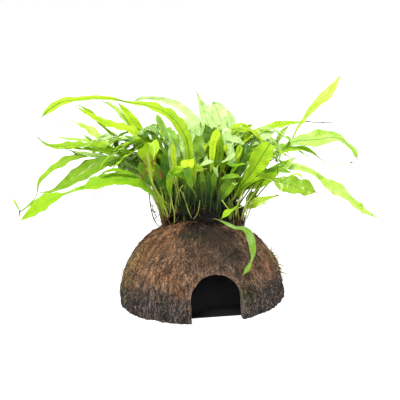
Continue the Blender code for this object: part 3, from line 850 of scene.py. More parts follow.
def build_husk_fibres(name, kind, finish):
    """Strands that lie over the husk, mostly from crown to rim, none across the doorway."""
    draw = np.random.default_rng(kind.seed)
    count, steps = kind.count, kind.steps
    azimuth = draw.uniform(0, 2 * np.pi, count)
    polar = np.arccos(draw.uniform(math.cos(RIM_ANGLE), 1, count))
    reach = draw.uniform(*kind.length, count)
    lean = draw.normal(0, kind.wander, count)
    bow = draw.normal(0, 0.35, count)
    t = np.linspace(0, 1, steps)
    heading = lean[:, None] + bow[:, None] * t
    step_size = (reach / (steps - 1))[:, None]
    d_polar = np.cos(heading) * step_size / SHELL_RADIUS
    polar_at = polar[:, None] + np.cumsum(d_polar, axis=1) - d_polar[:, :1]
    polar_at = np.clip(polar_at, 0.03, RIM_ANGLE - 0.004)
    d_azimuth = np.sin(heading) * step_size / (SHELL_RADIUS * np.maximum(np.sin(polar_at), 0.2))
    azimuth_at = azimuth[:, None] + np.cumsum(d_azimuth, axis=1) - d_azimuth[:, :1]
    height = draw.uniform(*kind.lift, count)[:, None] * np.sin(np.pi * (0.12 + 0.8 * t)) + 0.05
    loose = noise(np.stack([azimuth_at * 9, polar_at * 30, np.zeros_like(polar_at)], axis=-1), 1.0) * 0.25
    offset = husk_offset(azimuth_at, polar_at) + height + loose
    places = dome_place(dome_direction(azimuth_at, polar_at), offset)
    spread = polar_at[:, -1] - polar_at[:, 0]
    keep = (~in_door(places, 0.4).any(axis=1)) & (np.abs(spread) > 0.008)
    routes = places[keep]
    kept = len(routes)
    taper = np.interp(t, [0, 0.25, 0.55, 0.8, 1], [0.8, 1, 0.95, 0.7, 0.3])
    thickness = draw.uniform(*kind.radius, kept)[:, None] * taper
    middle = routes.mean(axis=1)
    side = smooth_step(0, 60, np.abs(middle[:, 0]) - 0.35 * middle[:, 0] - 0.25 * middle[:, 1])
    # Strands low on the shell are darker, painted shade, and grey below a wavy border.
    border = 22 + 8 * noise(middle, 16.0)
    high = smooth_step(-9, 9, middle[:, 2] - border + draw.normal(0, 3, kept))
    wound = np.stack([azimuth[keep] * SHELL_RADIUS, polar[keep] * 14, middle[:, 2] * 0.1], axis=1)
    clump = smooth_step(-0.40, 0.50, noise(wound, 2.0) + 0.6 * noise(wound + 55, 6.0))
    fleck = draw.random(kept) < 0.11 + 0.14 * side
    light = np.where(fleck, draw.uniform(0.4, 1.1, kept), 0.28 * draw.beta(0.8, 2.0, kept))
    light = light * (0.55 + 0.45 * high) * (0.30 + 1.10 * clump)
    # Strands in the dark patches are darkened: painted shade.
    light = np.clip(light * (1 - 0.85 * near_spots(middle, SHADE_SPOTS)), 0, 1)
    rust = smooth_step(-0.1, 0.5, noise(middle + 15, 10.0) + 0.5 * side + near_spots(middle, RUSTY))
    warm = np.clip(draw.normal(0.02, 0.22, kept) + 0.75 * rust, -0.35, 0.9) * high - 0.75 * (1 - high)
    # Green strands at the left and right outline: painted rim light.
    edge = smooth_step(24, 44, np.abs(middle[:, 0])) * smooth_step(-34, -12, middle[:, 1])
    edge = edge * smooth_step(14, 26, middle[:, 2]) * smooth_step(30, 6, middle[:, 1])
    green = np.where(draw.random(kept) < 0.45 * edge, draw.uniform(0.05, 0.35, kept), 0)
    return strand_piece(name, from_shell(routes), thickness, (light, warm, green), finish)


def build_loose_hairs(finish):
    """Hairs that stand out from the husk at their free end."""
    draw = np.random.default_rng(23)
    count = 2600
    steps = 5
    azimuth = draw.uniform(0, 2 * np.pi, count)
    polar = np.arccos(draw.uniform(math.cos(RIM_ANGLE - 0.03), 0.93, count))
    base = dome_place(dome_direction(azimuth, polar), husk_offset(azimuth, polar) - 0.2)
    out = dome_direction(azimuth, polar)
    down = dome_direction(azimuth, polar + 0.5 * np.pi)
    aside = np.cross(out, down)
    lean = draw.uniform(-1.4, 1.4, count)[:, None]
    lying = unit(down * draw.choice([1.0, -0.4], count, p=[0.7, 0.3])[:, None] + aside * lean)
    rough = smooth_step(0.72, 0.97, base[:, 0] / SHELL_RADIUS) * smooth_step(8, 24, base[:, 2])
    reach = (draw.gamma(2.2, 1.5, count).clip(1.2, 9.0) * (1 + 0.5 * rough))[:, None, None]
    t = np.linspace(0, 1, steps)[None, :, None]
    stand = draw.uniform(0.15, 0.75, count)[:, None, None]
    curl = draw.normal(0, 0.35, (count, 1, 1))
    routes = base[:, None] + reach * (lying[:, None] * t + out[:, None] * stand * t ** 1.6
                                      + aside[:, None] * curl * t ** 2)
    keep = ~in_door(routes, 0.2).any(axis=1) & (routes[..., 2].min(axis=1) > 0.3)
    routes = routes[keep]
    kept = len(routes)
    thickness = draw.uniform(0.12, 0.28, kept) * (1 + 1.3 * rough[keep])
    thickness = thickness[:, None] * np.array([1, 0.9, 0.8, 0.6, 0.3])
    base = routes[:, 0]
    # Greener, warmer hairs at the left and right outline: painted rim light.
    edge = smooth_step(0.86, 1.0, np.abs(base[:, 0]) / SHELL_RADIUS)
    green = np.where(draw.random(kept) < 0.45 * edge, draw.uniform(0.2, 0.8, kept), 0)
    # Hairs in the dark patches are darkened: painted shade.
    light = draw.uniform(0.0, 0.75, kept) * (1 - 0.8 * near_spots(base, SHADE_SPOTS))
    tints = (light, draw.uniform(0, 0.6, kept) + 0.35 * edge, green)
    return strand_piece("loose_hairs", from_shell(routes), thickness, tints, finish)


# Root mat and roots

def build_mat(finish):
    """A matted cushion over the crown; what would lie inside the dome rests on its husk."""
    polar, azimuth = np.meshgrid(np.linspace(0, np.pi, MAT_RINGS + 2)[1:-1],
                                 2 * np.pi * np.arange(MAT_SIDES) / MAT_SIDES, indexing="ij")
    direction = dome_direction(azimuth, polar).reshape(-1, 3)
    direction = np.vstack([[0, 0, 1], direction, [0, 0, -1]])
    place = direction * MAT_HALF_SIZE
    lumps = 1.5 * noise(place, 7.0) + 1.0 * noise(place + 30, 3.2) + 0.6 * noise(place + 60, 1.6)
    place = direction * (MAT_HALF_SIZE + lumps[:, None])
    tilt = np.array(Matrix.Rotation(MAT_TILT, 3, "X"))
    place = place @ tilt.T + MAT_CENTRE
    dome_size = np.array([SHELL_RADIUS, SHELL_RADIUS, SHELL_HALF_HEIGHT])
    inside = (place - [0, 0, SHELL_MIDDLE]) / dome_size
    share = np.linalg.norm(inside, axis=1)
    sunk = share < MAT_REST
    place[sunk] = inside[sunk] / share[sunk, None] * MAT_REST * dome_size + [0, 0, SHELL_MIDDLE]
    piece = new_piece("mat", from_fern(place), closed_faces(MAT_RINGS, MAT_SIDES), finish)
    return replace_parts(piece, "root_mat")


def build_rhizomes(finish):
    """The part's creeping stems with a scaly surface, drawn in at their left ends."""
    pieces = []
    for name, node in sorted(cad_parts.items()):
        if not name.startswith("rhizome_"):
            continue
        block = bmesh.new()
        block.from_mesh(node.data)
        bmesh.ops.remove_doubles(block, verts=block.verts, dist=0.01 * MM)
        bmesh.ops.triangulate(block, faces=block.faces)
        bmesh.ops.subdivide_edges(block, edges=block.edges, cuts=STEM_CUTS, use_grid_fill=True)
        bmesh.ops.triangulate(block, faces=block.faces)
        block.normal_update()
        places = np.array([corner.co for corner in block.verts])
        normals = np.array([corner.normal for corner in block.verts])
        scales = 0.30 * noise(places / MM, 1.7) + 0.25 * noise(places / MM + 30, 0.9)
        faces = np.array([[corner.index for corner in face.verts] for face in block.faces])
        block.free()
        places = drawn_in(places + normals * scales[:, None] * MM)
        piece = new_piece("stem_" + name[len("rhizome_"):], places, faces, finish)
        pieces.append(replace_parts(piece, name))
    return pieces


def tree_of(pieces):
    """One search tree over some finished pieces."""
    corners, faces = [], []
    for piece in pieces:
        start = len(corners)
        corners += [vertex.co.copy() for vertex in piece.data.vertices]
        faces += [[start + index for index in face.vertices] for face in piece.data.polygons]
    return BVHTree.FromPolygons(corners, faces)


def crawl(ground, starts, headings, steps, stride, drift, lift, draw):
    """Routes that wander over the ground: each step turns a little and settles on the surface."""
    routes = np.zeros((len(starts), steps, 3))
    for index, (place, heading) in enumerate(zip(starts, headings)):
        place = Vector(place)
        heading = Vector(heading)
        for step in range(steps):
            hit, normal, _, _ = ground.find_nearest(place)
            rise = lift[index] * (0.35 + 0.65 * abs(math.sin(1.3 * step + index)))
            routes[index, step] = hit + normal * rise * MM
            heading = heading + Vector(draw.normal(0, drift, 3))
            heading = (heading - normal * heading.dot(normal)).normalized()
            place = hit + heading * stride[index] * MM
    return routes


def fern_direction(heading):
    """A direction in the fern's frame, turned into the part's."""
    return from_fern(heading) - from_fern([0, 0, 0])


def build_roots(ground, finish):
    """Wiry roots felted over the mat and creeping down on to the husk."""
    draw = np.random.default_rng(31)
    count = 2300
    steps = 8
    angle = draw.uniform(0, 2 * np.pi, count)
    far = np.sqrt(draw.uniform(0, 1, count))
    x, y = np.cos(angle), np.sin(angle)
    starts = np.stack([6 + x * 29 * far, 9 + y * 24 * far, np.full(count, 72.0)], axis=1)
    headings = np.stack([x + draw.normal(0, 0.6, count), y + draw.normal(0, 0.6, count),
                         np.full(count, -0.6)], axis=1)
    stride = draw.uniform(1.4, 3.4, count)
    lift = draw.gamma(1.5, 0.6, count).clip(0.1, 2.6)
    routes = crawl(ground, from_fern(starts), fern_direction(headings), steps, stride, 0.35, lift, draw)
    thickness = draw.uniform(0.13, 0.36, count)[:, None] * np.array([1, 1, 1, 0.95, 0.9, 0.8, 0.6, 0.3])
    ends = smooth_step(16, 24, -starts[:, 0])
    dark = draw.random(count) < 0.995 - 0.45 * ends
    light = np.where(dark, draw.uniform(0.0, 0.02, count), draw.uniform(0.1, 0.6, count))
    warm = np.where(dark, draw.uniform(0.0, 0.04, count), draw.uniform(0.2, 0.8, count))
    return strand_piece("mat_roots", routes, thickness, (light, warm, np.zeros(count)), finish)


def build_shoulder_roots(ground, finish):
    """Reddish roots that run from both ends of the mat down over the husk."""
    draw = np.random.default_rng(37)
    steps = 12
    # Each patch: how many, middle and spread of the feet, heading, and length of a step
    patches = [
        (340, (-22, -8, 62), (6, 6, 3), (-0.65, -0.70, -0.6), (1.6, 4.2)),
        (60, (-19, -14, 62), (4, 3, 2), (-0.35, -0.90, -0.6), (1.4, 3.2)),
        (90, (-30, 8, 61), (3, 8, 3), (-0.9, 0.1, -0.6), (1.6, 3.4)),
        (90, (31, -6, 62), (5, 6, 3), (0.7, -0.6, -0.6), (1.4, 2.8)),
        (110, (-6, -14, 64), (18, 4, 2), (-0.2, -0.9, -0.5), (1.0, 2.4)),
        (150, (0, 30, 60), (26, 4, 3), (0.0, 0.9, -0.6), (1.4, 3.2)),
    ]
    starts, headings, strides = [], [], []
    for count, middle, spread, heading, stride in patches:
        starts.append(draw.normal(middle, spread, (count, 3)))
        headings.append(draw.normal(heading, 0.30, (count, 3)))
        strides.append(draw.uniform(*stride, count))
    starts, headings, strides = np.vstack(starts), np.vstack(headings), np.concatenate(strides)
    count = len(starts)
    lift = draw.gamma(1.6, 0.45, count).clip(0.15, 1.8)
    routes = crawl(ground, from_fern(starts), fern_direction(headings), steps, strides, 0.16, lift, draw)
    thickness = draw.uniform(0.18, 0.46, count)[:, None] * np.linspace(1, 0.35, steps)
    # Roots that start in the middle, under the foliage, are nearly black: painted shade over dark roots.
    front = (starts[:, 0] > -13) & (starts[:, 0] < 27)
    light = np.where(draw.random(count) < 0.45, draw.uniform(0, 0.1, count), draw.uniform(0.4, 1.2, count))
    light = np.where(front, 0.05 * light, light)
    warm = np.where(front, draw.uniform(0, 0.3, count), draw.uniform(0.6, 1.1, count))
    return strand_piece("shoulder_roots", routes, thickness, (light, warm, np.zeros(count)), finish)


# Fronds

# pale, yellow, deep: share of each tone; pale is painted highlight. rib: 1 dark, -1 pale. stain: rust under
# the leaf.
# wave: how much the margins ruffle. crinkle: how much the blade buckles. twists: (place along
# the frond, degrees, narrowing, spread) of each place where the blade turns on edge.
# moves: (place along the frond, right, back, up) in mm by which its course departs from the frame.
# course: where the photograph shows the frond after its foot, as (column, row, depth behind the
# fern's middle in mm, width in mm). face: where its upper side turns. tail: it ends as a thread.
ARCHED = (0, -0.7, 1)
FORWARD = (0, -1, 0.3)
FOLDED_OVER = (0, 0, 1)
Look = namedtuple("Look", "pale yellow deep rib stain wave crinkle twists moves course face tail",
                  defaults=(0, 0, 0, 0.35, 0, 1, 1, (), (), (), ARCHED, False))
ROW_LOOKS = {
    "front": Look(yellow=0.12, deep=0.05, rib=0.3),
    "middle": Look(yellow=0.10, deep=0.05),
    "back": Look(pale=0.12, deep=0.10, wave=1.2),
    "rear": Look(deep=0.25, wave=1.2),
}
LOOKS = {
    "front_01": Look(yellow=0.1, deep=0.1, rib=0.15, wave=0.35, crinkle=1.5, course=(
        (166, 217, -9, 1.2), (162.5, 209, -10, 1.2), (158, 201, -11, 1.3), (152.5, 194.5, -12, 2.6),
        (146, 189, -12, 5), (139, 184, -13, 9), (130, 180.5, -15, 14), (115, 180.5, -18, 17.5),
        (102, 183, -20, 17), (92, 185.5, -21, 14), (85, 187.5, -22, 6), (77, 190, -22.5, 3),
        (65, 194, -23, 3), (56, 197.5, -23.5, 10), (46, 202.5, -24, 15), (36, 209, -24, 11),
        (28, 215, -24, 6), (20, 221, -24, 0.8))),
    "front_02": Look(deep=0.35, course=(
        (158, 198, -3, 1.2), (146, 183, -8, 1.4), (134, 175, -12, 2), (124, 171.5, -14, 3),
        (113, 170, -15, 4), (106, 172, -16, 3), (99.5, 176.5, -17, 0.8))),
    "front_03": Look(yellow=0.15, rib=0.2, crinkle=2, face=FORWARD, course=(
        (171, 205, -13, 1.2), (170, 196, -16, 1.6), (169.5, 186, -20, 4.5), (170, 177, -25, 5.5),
        (174, 171, -30, 5.5), (180, 169, -34, 5), (186, 168, -37, 1.5))),
    "front_04": Look(yellow=0.4, rib=-1, stain=1, wave=0.6, face=FOLDED_OVER, course=(
        (165, 202, -10, 1.2), (156, 190, -15, 1.4), (152, 182, -19, 2.2), (150.5, 174, -22, 5),
        (149, 163, -26, 10.5), (147.5, 152, -31, 14), (150.5, 143, -36, 10), (153.5, 144.5, -40, 8),
        (154.5, 151, -42, 7), (154, 159.5, -43, 2.5))),
    "front_05": Look(yellow=1, wave=0.4, face=FORWARD, course=(
        (180, 198, -10, 1.2), (177, 183, -12, 1.4), (175, 168, -15, 3.2), (173.5, 156, -17, 3.6),
        (173, 147, -18, 3.2), (173, 141.5, -18, 1))),
    "front_06": Look(yellow=0.65, wave=0.8, crinkle=1.5, face=FOLDED_OVER, course=(
        (196, 200, -9, 1.2), (195, 182, -14, 1.5), (193.5, 169, -20, 6), (191, 162, -26, 7.5),
        (189, 160.5, -30, 8.5), (188, 164, -34, 10.5), (187.5, 168.5, -36, 8.5), (188, 173, -37, 3))),
    "front_07": Look(yellow=0.6, rib=0.2, wave=0.6, face=FORWARD, course=(
        (208, 202, -9, 1.2), (210, 180, -12, 1.3), (211.5, 165, -15, 2.4), (212, 156, -16, 4.8),
        (213, 145, -15, 5), (216, 135, -13, 6.5), (220, 127.5, -10, 0.8))),
    "front_08": Look(deep=0.75, crinkle=2.5, course=(
        (200, 203, -8, 1.2), (193, 190, -14, 1.4), (187, 181, -20, 4), (180, 175, -25, 8),
        (173, 174, -28, 7), (167, 179, -30, 1.5))),
    "front_09": Look(deep=0.75, pale=0.1, rib=-0.1, wave=0.7, crinkle=1.6, face=FORWARD, course=(
        (211, 217, -7, 0.9), (217, 219.5, -14, 1), (222, 221.5, -24, 1.8), (229, 225, -28, 2.8),
        (236, 228, -31, 2.4), (243, 228.5, -34, 3.4), (248.5, 233, -36, 5.4), (251.5, 241, -39, 5.8),
        (253, 250, -42, 5), (252.5, 257, -44, 2.4), (250.5, 263, -46, 2), (247.5, 269, -48, 3.8),
        (242.5, 275.5, -50, 0.8))),
    "front_10": Look(deep=1, rib=-0.2, wave=0.8, crinkle=2, face=FORWARD, course=(
        (215, 203, -6, 1.2), (228, 190, -8, 1.4), (238, 176, -10, 4), (242, 163, -12, 7),
        (245, 152, -12, 8), (246.5, 145, -11, 7.5), (247, 142, -10, 3))),
    "front_11": Look(yellow=0.18, rib=0.9, wave=0.9, crinkle=1.5, face=(0, -1, 0.5), course=(
        (232, 200, -8, 1.2), (240, 187, -14, 2), (249, 176, -19, 8), (256, 166, -23, 13),
        (262, 156, -25, 14.5), (267, 148, -24, 12), (271, 142, -20, 3))),
    "front_12": Look(deep=0.48, yellow=0.1, rib=0.3, wave=1.4, crinkle=2.9, face=(0, -0.9, 0.8), course=(
        (238, 198, -4, 1.2), (250, 186, -10, 1.5), (262, 180, -16, 2), (273, 179.5, -21, 3.5),
        (280, 182.5, -24, 9), (288, 184, -26, 14.5), (296, 187, -27, 13.5), (304, 188.5, -28, 12.5),
        (311, 190.5, -28, 8), (317, 192.5, -28, 1))),
    "front_13": Look(yellow=0.55, pale=0.15, rib=0.1, wave=0.8, face=(0, -1, 0.4), course=(
        (243, 208, -3, 1.4), (249, 206, -9, 5), (256, 203, -13, 7.5), (262, 200.5, -16, 6),
        (268, 198, -17, 3), (279, 195.5, -18, 0.9))),
    "front_14": Look(pale=0.3, yellow=0.45, rib=0.2, crinkle=2.6, face=(0, -0.9, 0.8), course=(
        (252, 186, -3, 1.2), (264, 172, -6, 1.4), (277, 166, -8, 2.5), (288, 166, -10, 5),
        (300, 167.5, -12, 5.5), (310, 171, -13, 4.5), (318, 176, -14, 4), (325, 182, -14, 7),
        (332, 187, -14, 10.5), (340, 191, -14, 10), (346, 195, -14, 7), (350, 199, -13, 5),
        (356, 205, -13, 7.5), (363, 210, -12, 7), (370, 214.5, -12, 3), (378, 217, -12, 0.8))),
    "middle_01": Look(deep=0.35, yellow=0.1, rib=-0.2, wave=0.8, course=(
        (157, 196, 4, 1.2), (146, 176, 8, 1.4), (130, 162, 8, 1.6), (110, 157, 6, 2.5), (92, 156, 4, 3.5),
        (80, 156.5, 2, 5.5), (70, 159, 0, 7), (62, 163, -2, 8), (54, 168, -3, 6.5), (46, 174, -4, 5),
        (41, 180, -4, 4.5), (38, 187, -3, 3), (36.5, 195, 0, 1.4), (32, 203, 4, 3), (26, 208, 7, 3),
        (20.5, 211.5, 10, 1))),
    "middle_02": Look(deep=0.5, rib=-0.2, wave=0.4, crinkle=1.8, course=(
        (160, 198, 6, 1.2), (148, 176, 8, 1.5), (132, 163, 6, 2.5), (118, 159, 2, 4.5), (108, 161, -1, 11),
        (98, 165.5, -3, 15.5), (88, 171, -4, 18.5), (78, 176.5, -5, 15.5), (68, 182.5, -6, 11.5),
        (60, 187.5, -6, 7), (51, 191.5, -6, 3.5), (40, 192.5, -6, 1))),
    "middle_03": Look(deep=0.25, yellow=0.1, wave=0.9, crinkle=1.8, course=(
        (164, 196, 10, 1.2), (150, 176, 12, 1.4), (134, 162, 12, 1.6), (120, 154, 12, 3.5),
        (105, 149, 12, 9), (90, 145.5, 12, 10.5), (75, 145.5, 12, 9.5), (62, 146, 12, 6), (52, 146, 12, 3),
        (44, 143, 12, 2), (37, 136.5, 12, 0.7))),
    "middle_04": Look(yellow=0.5, course=(
        (168, 194, 14, 1.2), (160, 170, 16, 1.5), (150, 147, 16, 6.5), (140, 136, 16, 10),
        (128, 130, 17, 10), (114, 125.5, 18, 8.5), (101, 121, 18, 6.5), (90, 115.5, 18, 4),
        (80, 109, 18, 2), (75, 105.5, 18, 0.7))),
    "middle_06": Look(yellow=0.5, wave=1.2, face=FORWARD, course=(
        (178, 192, 12, 1.2), (165, 168, 20, 1.8), (152, 148, 26, 5), (142, 134, 30, 7.5), (134, 122, 33, 8),
        (127, 113, 35, 6), (121, 106, 37, 3), (118, 103, 38, 0.8))),
    "middle_07": Look(yellow=0.4, rib=1, wave=0.4, twists=((0.655, 50, 0.55, 0.03),), course=(
        (192, 195, -2, 1.2), (191, 178, -10, 2.5), (189.5, 162, -15, 5.5), (188.5, 148, -16, 6.5),
        (185.5, 137, -16, 8.5), (178, 124, -15, 11.5), (167, 114, -14, 12), (152, 107, -14, 10.5),
        (138, 104, -15, 6.5), (126, 102, -16, 3), (116, 99.5, -16, 4), (100, 98, -17, 6.2),
        (80, 99.5, -18, 7.4), (65, 101.5, -19, 7.8), (57, 104.5, -19, 7.2), (49, 110, -20, 5.6),
        (41, 117.5, -20, 1.2))),
    "middle_08": Look(deep=0.5, pale=0.15, crinkle=2.2, face=FORWARD, course=(
        (196, 190, 8, 1.2), (200, 174, 6, 3), (201, 162, 5, 7.5), (200, 150, 5, 10), (198, 141, 5, 9),
        (195.5, 134, 5, 2))),
    "middle_09": Look(deep=0.95, wave=1.2, crinkle=2, face=FORWARD, course=(
        (201, 185, 10, 1.2), (206, 165, 14, 1.5), (208, 149, 18, 5), (208.5, 138, 21, 8),
        (207.5, 130, 23, 6.5), (205, 123.5, 24, 1))),
    "middle_10": Look(deep=0.3, face=FORWARD, course=(
        (206, 190, 6, 1.2), (214, 172, 0, 3), (219, 159, -4, 5.5), (220, 147, -5, 6), (219.5, 138, -4, 5),
        (222, 130, -1, 1))),
    "middle_11": Look(yellow=0.65, pale=0.2, rib=0.3, wave=0.6, face=(-0.7, -1, 0.5), course=(
        (220, 192, 12, 1.2), (250, 172, 22, 1.3), (275, 158, 30, 1.4), (289, 147, 33, 1.6),
        (294, 135, 34, 1.8), (299, 126, 34, 2.6), (305, 118, 33, 3.8), (310, 111.5, 33, 5.4),
        (318, 103, 34, 7.6), (326, 95.5, 37, 9), (333, 87, 41, 6.8), (337, 81, 45, 4),
        (340.5, 75, 49, 0.8))),
    "middle_13": Look(pale=0.32, yellow=0.2, deep=0.1, rib=0.8, crinkle=2.2, face=(0, -0.9, 0.8), course=(
        (230, 192, 16, 1.2), (255, 168, 18, 1.4), (275, 152, 18, 1.6), (287, 145, 18, 3.5),
        (296, 141.5, 17, 6.5), (304, 140, 16, 10.5), (312, 139.5, 15, 14.5), (320, 139.5, 13, 16),
        (327, 138, 12, 12.5), (334, 137, 11, 8.5), (340, 138.5, 10, 5.5), (345, 142.5, 9, 3.5),
        (349, 146.5, 8, 5), (353, 150.5, 8, 6), (356, 155, 7, 4), (357.5, 160, 7, 0.8))),
    "middle_15": Look(yellow=0.25, rib=0.5, tail=True, course=(
        (237, 195, 12, 1.2), (256, 170, 16, 1.4), (272, 156, 17, 2), (284, 151, 17, 3), (293, 149, 16, 4.6),
        (302, 148.5, 16, 4.6), (310, 151, 16, 3.6), (316, 155, 16, 2), (320.5, 159, 15.5, 0.75),
        (327, 163, 15, 0.6), (336, 165.5, 15, 0.55), (345, 163.5, 14, 0.55), (352, 162.5, 14, 0.55))),
    "back_02": Look(pale=0.3, yellow=0.3, deep=0.1, wave=1.2, course=(
        (160, 196, 28, 1.2), (145, 170, 34, 1.4), (125, 155, 40, 2), (105, 146, 44, 4), (90, 141, 46, 4.6),
        (78, 140, 47, 4), (68, 139, 48, 3), (60, 137.5, 49, 1.8), (56, 137, 49, 0.7))),
    "back_04": Look(yellow=0.6, pale=0.25, rib=0.1, tail=True, course=(
        (172, 190, 30, 1.2), (150, 165, 36, 1.4), (130, 155, 40, 1.6), (116, 150, 43, 3.5),
        (106, 145, 45, 6), (98, 136, 47, 8), (90, 130.5, 49, 8), (83, 127, 50, 6.5), (77, 123, 50, 2.5),
        (70, 121.2, 50, 0.6), (60, 121.3, 50, 0.6), (57, 120, 50, 0.6))),
    "back_05": Look(yellow=0.4, pale=0.35, wave=1.2, course=(
        (170, 190, 24, 1.2), (155, 160, 30, 2), (142, 140, 34, 4), (132, 127, 36, 5), (124, 118, 37, 5),
        (116, 110, 38, 5), (109, 104, 38, 3.4), (103, 101.5, 38, 1))),
    "back_06": Look(deep=0.6, yellow=0.3, rib=0.3, course=(
        (176, 190, 26, 1.2), (155, 160, 26, 1.5), (138, 147, 26, 1.8), (120, 138, 25, 2.4),
        (108, 131, 24, 3), (99, 122, 24, 3.2), (92, 114, 24, 3.8), (85, 109, 24, 2.6),
        (78, 104.5, 24, 0.7))),
    "back_08": Look(pale=0.95, rib=0.2, crinkle=2, face=FORWARD, course=(
        (196, 190, 26, 1.2), (206, 170, 26, 2.2), (208, 156, 28, 3.5), (205, 143, 32, 4.5),
        (200, 129, 38, 6.5), (191, 116, 44, 7.5), (179, 106, 50, 6.5), (164, 100, 54, 4.5),
        (150, 98, 56, 3), (141, 98.5, 56, 3), (133, 102, 56, 0.8))),
    "back_09": Look(pale=0.55, wave=1.4, crinkle=2),
    "back_10": Look(pale=0.75, yellow=0.5, wave=1.2, crinkle=2.4, face=FORWARD, course=(
        (203, 190, 22, 1.2), (208, 165, 24, 3), (210, 146, 28, 8), (209, 130, 33, 11), (206, 117, 37, 10),
        (202.5, 106, 40, 6.5), (199, 98, 41, 3), (196.5, 91, 42, 0.8))),
    "back_11": Look(pale=0.7, wave=1.4, crinkle=2),
    "back_12": Look(pale=0.85, yellow=0.3, rib=0.8, wave=1.2, crinkle=3.2, face=FORWARD, course=(
        (214, 190, 24, 1.2), (220, 165, 28, 6), (222, 148, 34, 13), (222, 133, 42, 18), (220, 120, 50, 18),
        (217, 110, 55, 14), (214, 104, 57, 8), (212.5, 101, 57, 2))),
    "back_13": Look(pale=0.6, wave=1.4, crinkle=2.4),
    "back_14": Look(deep=0.15, yellow=0.3, wave=1.4, crinkle=2),
    "back_15": Look(yellow=0.35, deep=0.15, rib=0.3, wave=1.2, tail=True, course=(
        (226, 190, 22, 1.2), (240, 165, 22, 1.4), (252, 143, 24, 2), (262, 131, 25, 4), (270, 127.5, 25, 6),
        (278, 125, 25, 6.8), (286, 123.5, 25, 5), (294, 122.7, 24, 3), (303, 121.8, 22, 2.4),
        (308, 121.5, 21, 0.9), (315, 122.3, 20, 0.65), (332, 122.5, 18, 0.55))),
    "back_17": Look(pale=0.4, yellow=0.6, face=FORWARD, course=(
        (232, 195, 22, 1.2), (250, 170, 26, 1.4), (265, 152, 30, 1.8), (275, 143, 32, 3),
        (281, 134, 34, 4.6), (285, 129, 35, 3.2), (289, 125.5, 35, 0.8))),
    "rear_01": Look(deep=0.2, wave=1.2, moves=((0.5, 0, 0, 6), (1, 0, 0, 24))),
    "rear_02": Look(deep=0.2, wave=1.2, moves=((0.5, 0, 0, 4), (1, 0, 0, 14))),
    "rear_06": Look(deep=0.2, wave=1.2, moves=((0.5, 0, 0, 2), (1, 0, 0, 8))),
    "rear_07": Look(deep=0.2, wave=1.2, moves=((0.5, 0, 0, 3), (1, 0, 0, 12))),
}


def welded(node):
    """A node's corners without repeats, and which corners its faces join."""
    corners, links, index = [], [], []
    known = {}
    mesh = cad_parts[node].data
    for vertex in mesh.vertices:
        key = tuple(round(part / (0.01 * MM)) for part in vertex.co)
        if key not in known:
            known[key] = len(corners)
            corners.append(np.array(vertex.co))
            links.append(set())
        index.append(known[key])
    for face in mesh.polygons:
        ids = {index[corner] for corner in face.vertices}
        for corner in ids:
            links[corner] |= ids - {corner}
    return np.array(corners), links


def rings_from(links, start):
    """The corners of a solid in rings, by how many edges they are from a start."""
    seen, rings, ring = {start}, [], [start]
    while ring:
        rings.append(ring)
        ring = sorted({other for corner in ring for other in links[corner]} - seen)
        seen |= set(ring)
    return rings


def frond_knots(node):
    """Rows of place, upper side and half width along a frond's node, foot first, in mm."""
    corners, links = welded(node)
    for start in range(len(corners)):
        rings = rings_from(links, start)
        if len(links[start]) == 4 and all(len(ring) == 4 for ring in rings[1:]):
            break
    tip = corners[start]
    knots, upper = [], None
    for ring in rings[1:]:
        four = corners[ring]
        gaps = np.linalg.norm(four[:, None] - four[None], axis=-1)
        left, right = np.unravel_index(gaps.argmax(), gaps.shape)
        rest = [corner for corner in range(4) if corner not in (left, right)]
        centre = four[rest].mean(axis=0)
        half_width = gaps[left, right] / 2
        if half_width > BLADE_FROM * MM:
            thin = unit(four[rest[0]] - four[rest[1]])
            fold = (four[left] + four[right]) / 2 - centre
            upper = thin if thin @ fold > 0 else -thin
        knots.append([*centre, upper, half_width])
    knots.reverse()
    first = next(row[3] for row in knots if row[3] is not None)
    rows = [[*row[:3], *(first if row[3] is None else row[3]), row[4]] for row in knots]
    rows.append([*tip, *rows[-1][3:6], 0])
    rows = np.array(rows)
    rows[:, :3] /= MM
    rows[:, 6] /= MM
    return rows


def seen_rows(look):
    """Rows of place, upper side and half width, in mm, along a course in the photograph."""
    places = from_fern(sighted(look.course)) / MM
    upper = np.tile(unit(fern_direction(look.face)), (len(places), 1))
    return np.column_stack([places, upper, np.array(look.course)[:, 3] / 2])


def redrawn(rows, look):
    """A node's rows, set along the frond's course in the photograph where that is given."""
    if not look.course:
        return rows
    seen = seen_rows(look)
    foot = np.concatenate([drawn_in(rows[0, :3] * MM) / MM, seen[0, 3:6], [STALK_RADIUS]])
    return np.vstack([foot, seen])


def moved(rows, moves):
    """Rows whose places are moved, by amounts in the fern's frame at places along them."""
    if not moves:
        return rows
    lengths = lengths_along(rows)
    at = [0.0] + [move[0] for move in moves]
    amounts = np.array([(0, 0, 0)] + [move[1:] for move in moves], float)
    turned = fern_direction(amounts) / MM
    shift = np.stack([np.interp(lengths / lengths[-1], at, column) for column in turned.T], axis=1)
    rows = rows.copy()
    rows[:, :3] += shift
    return rows


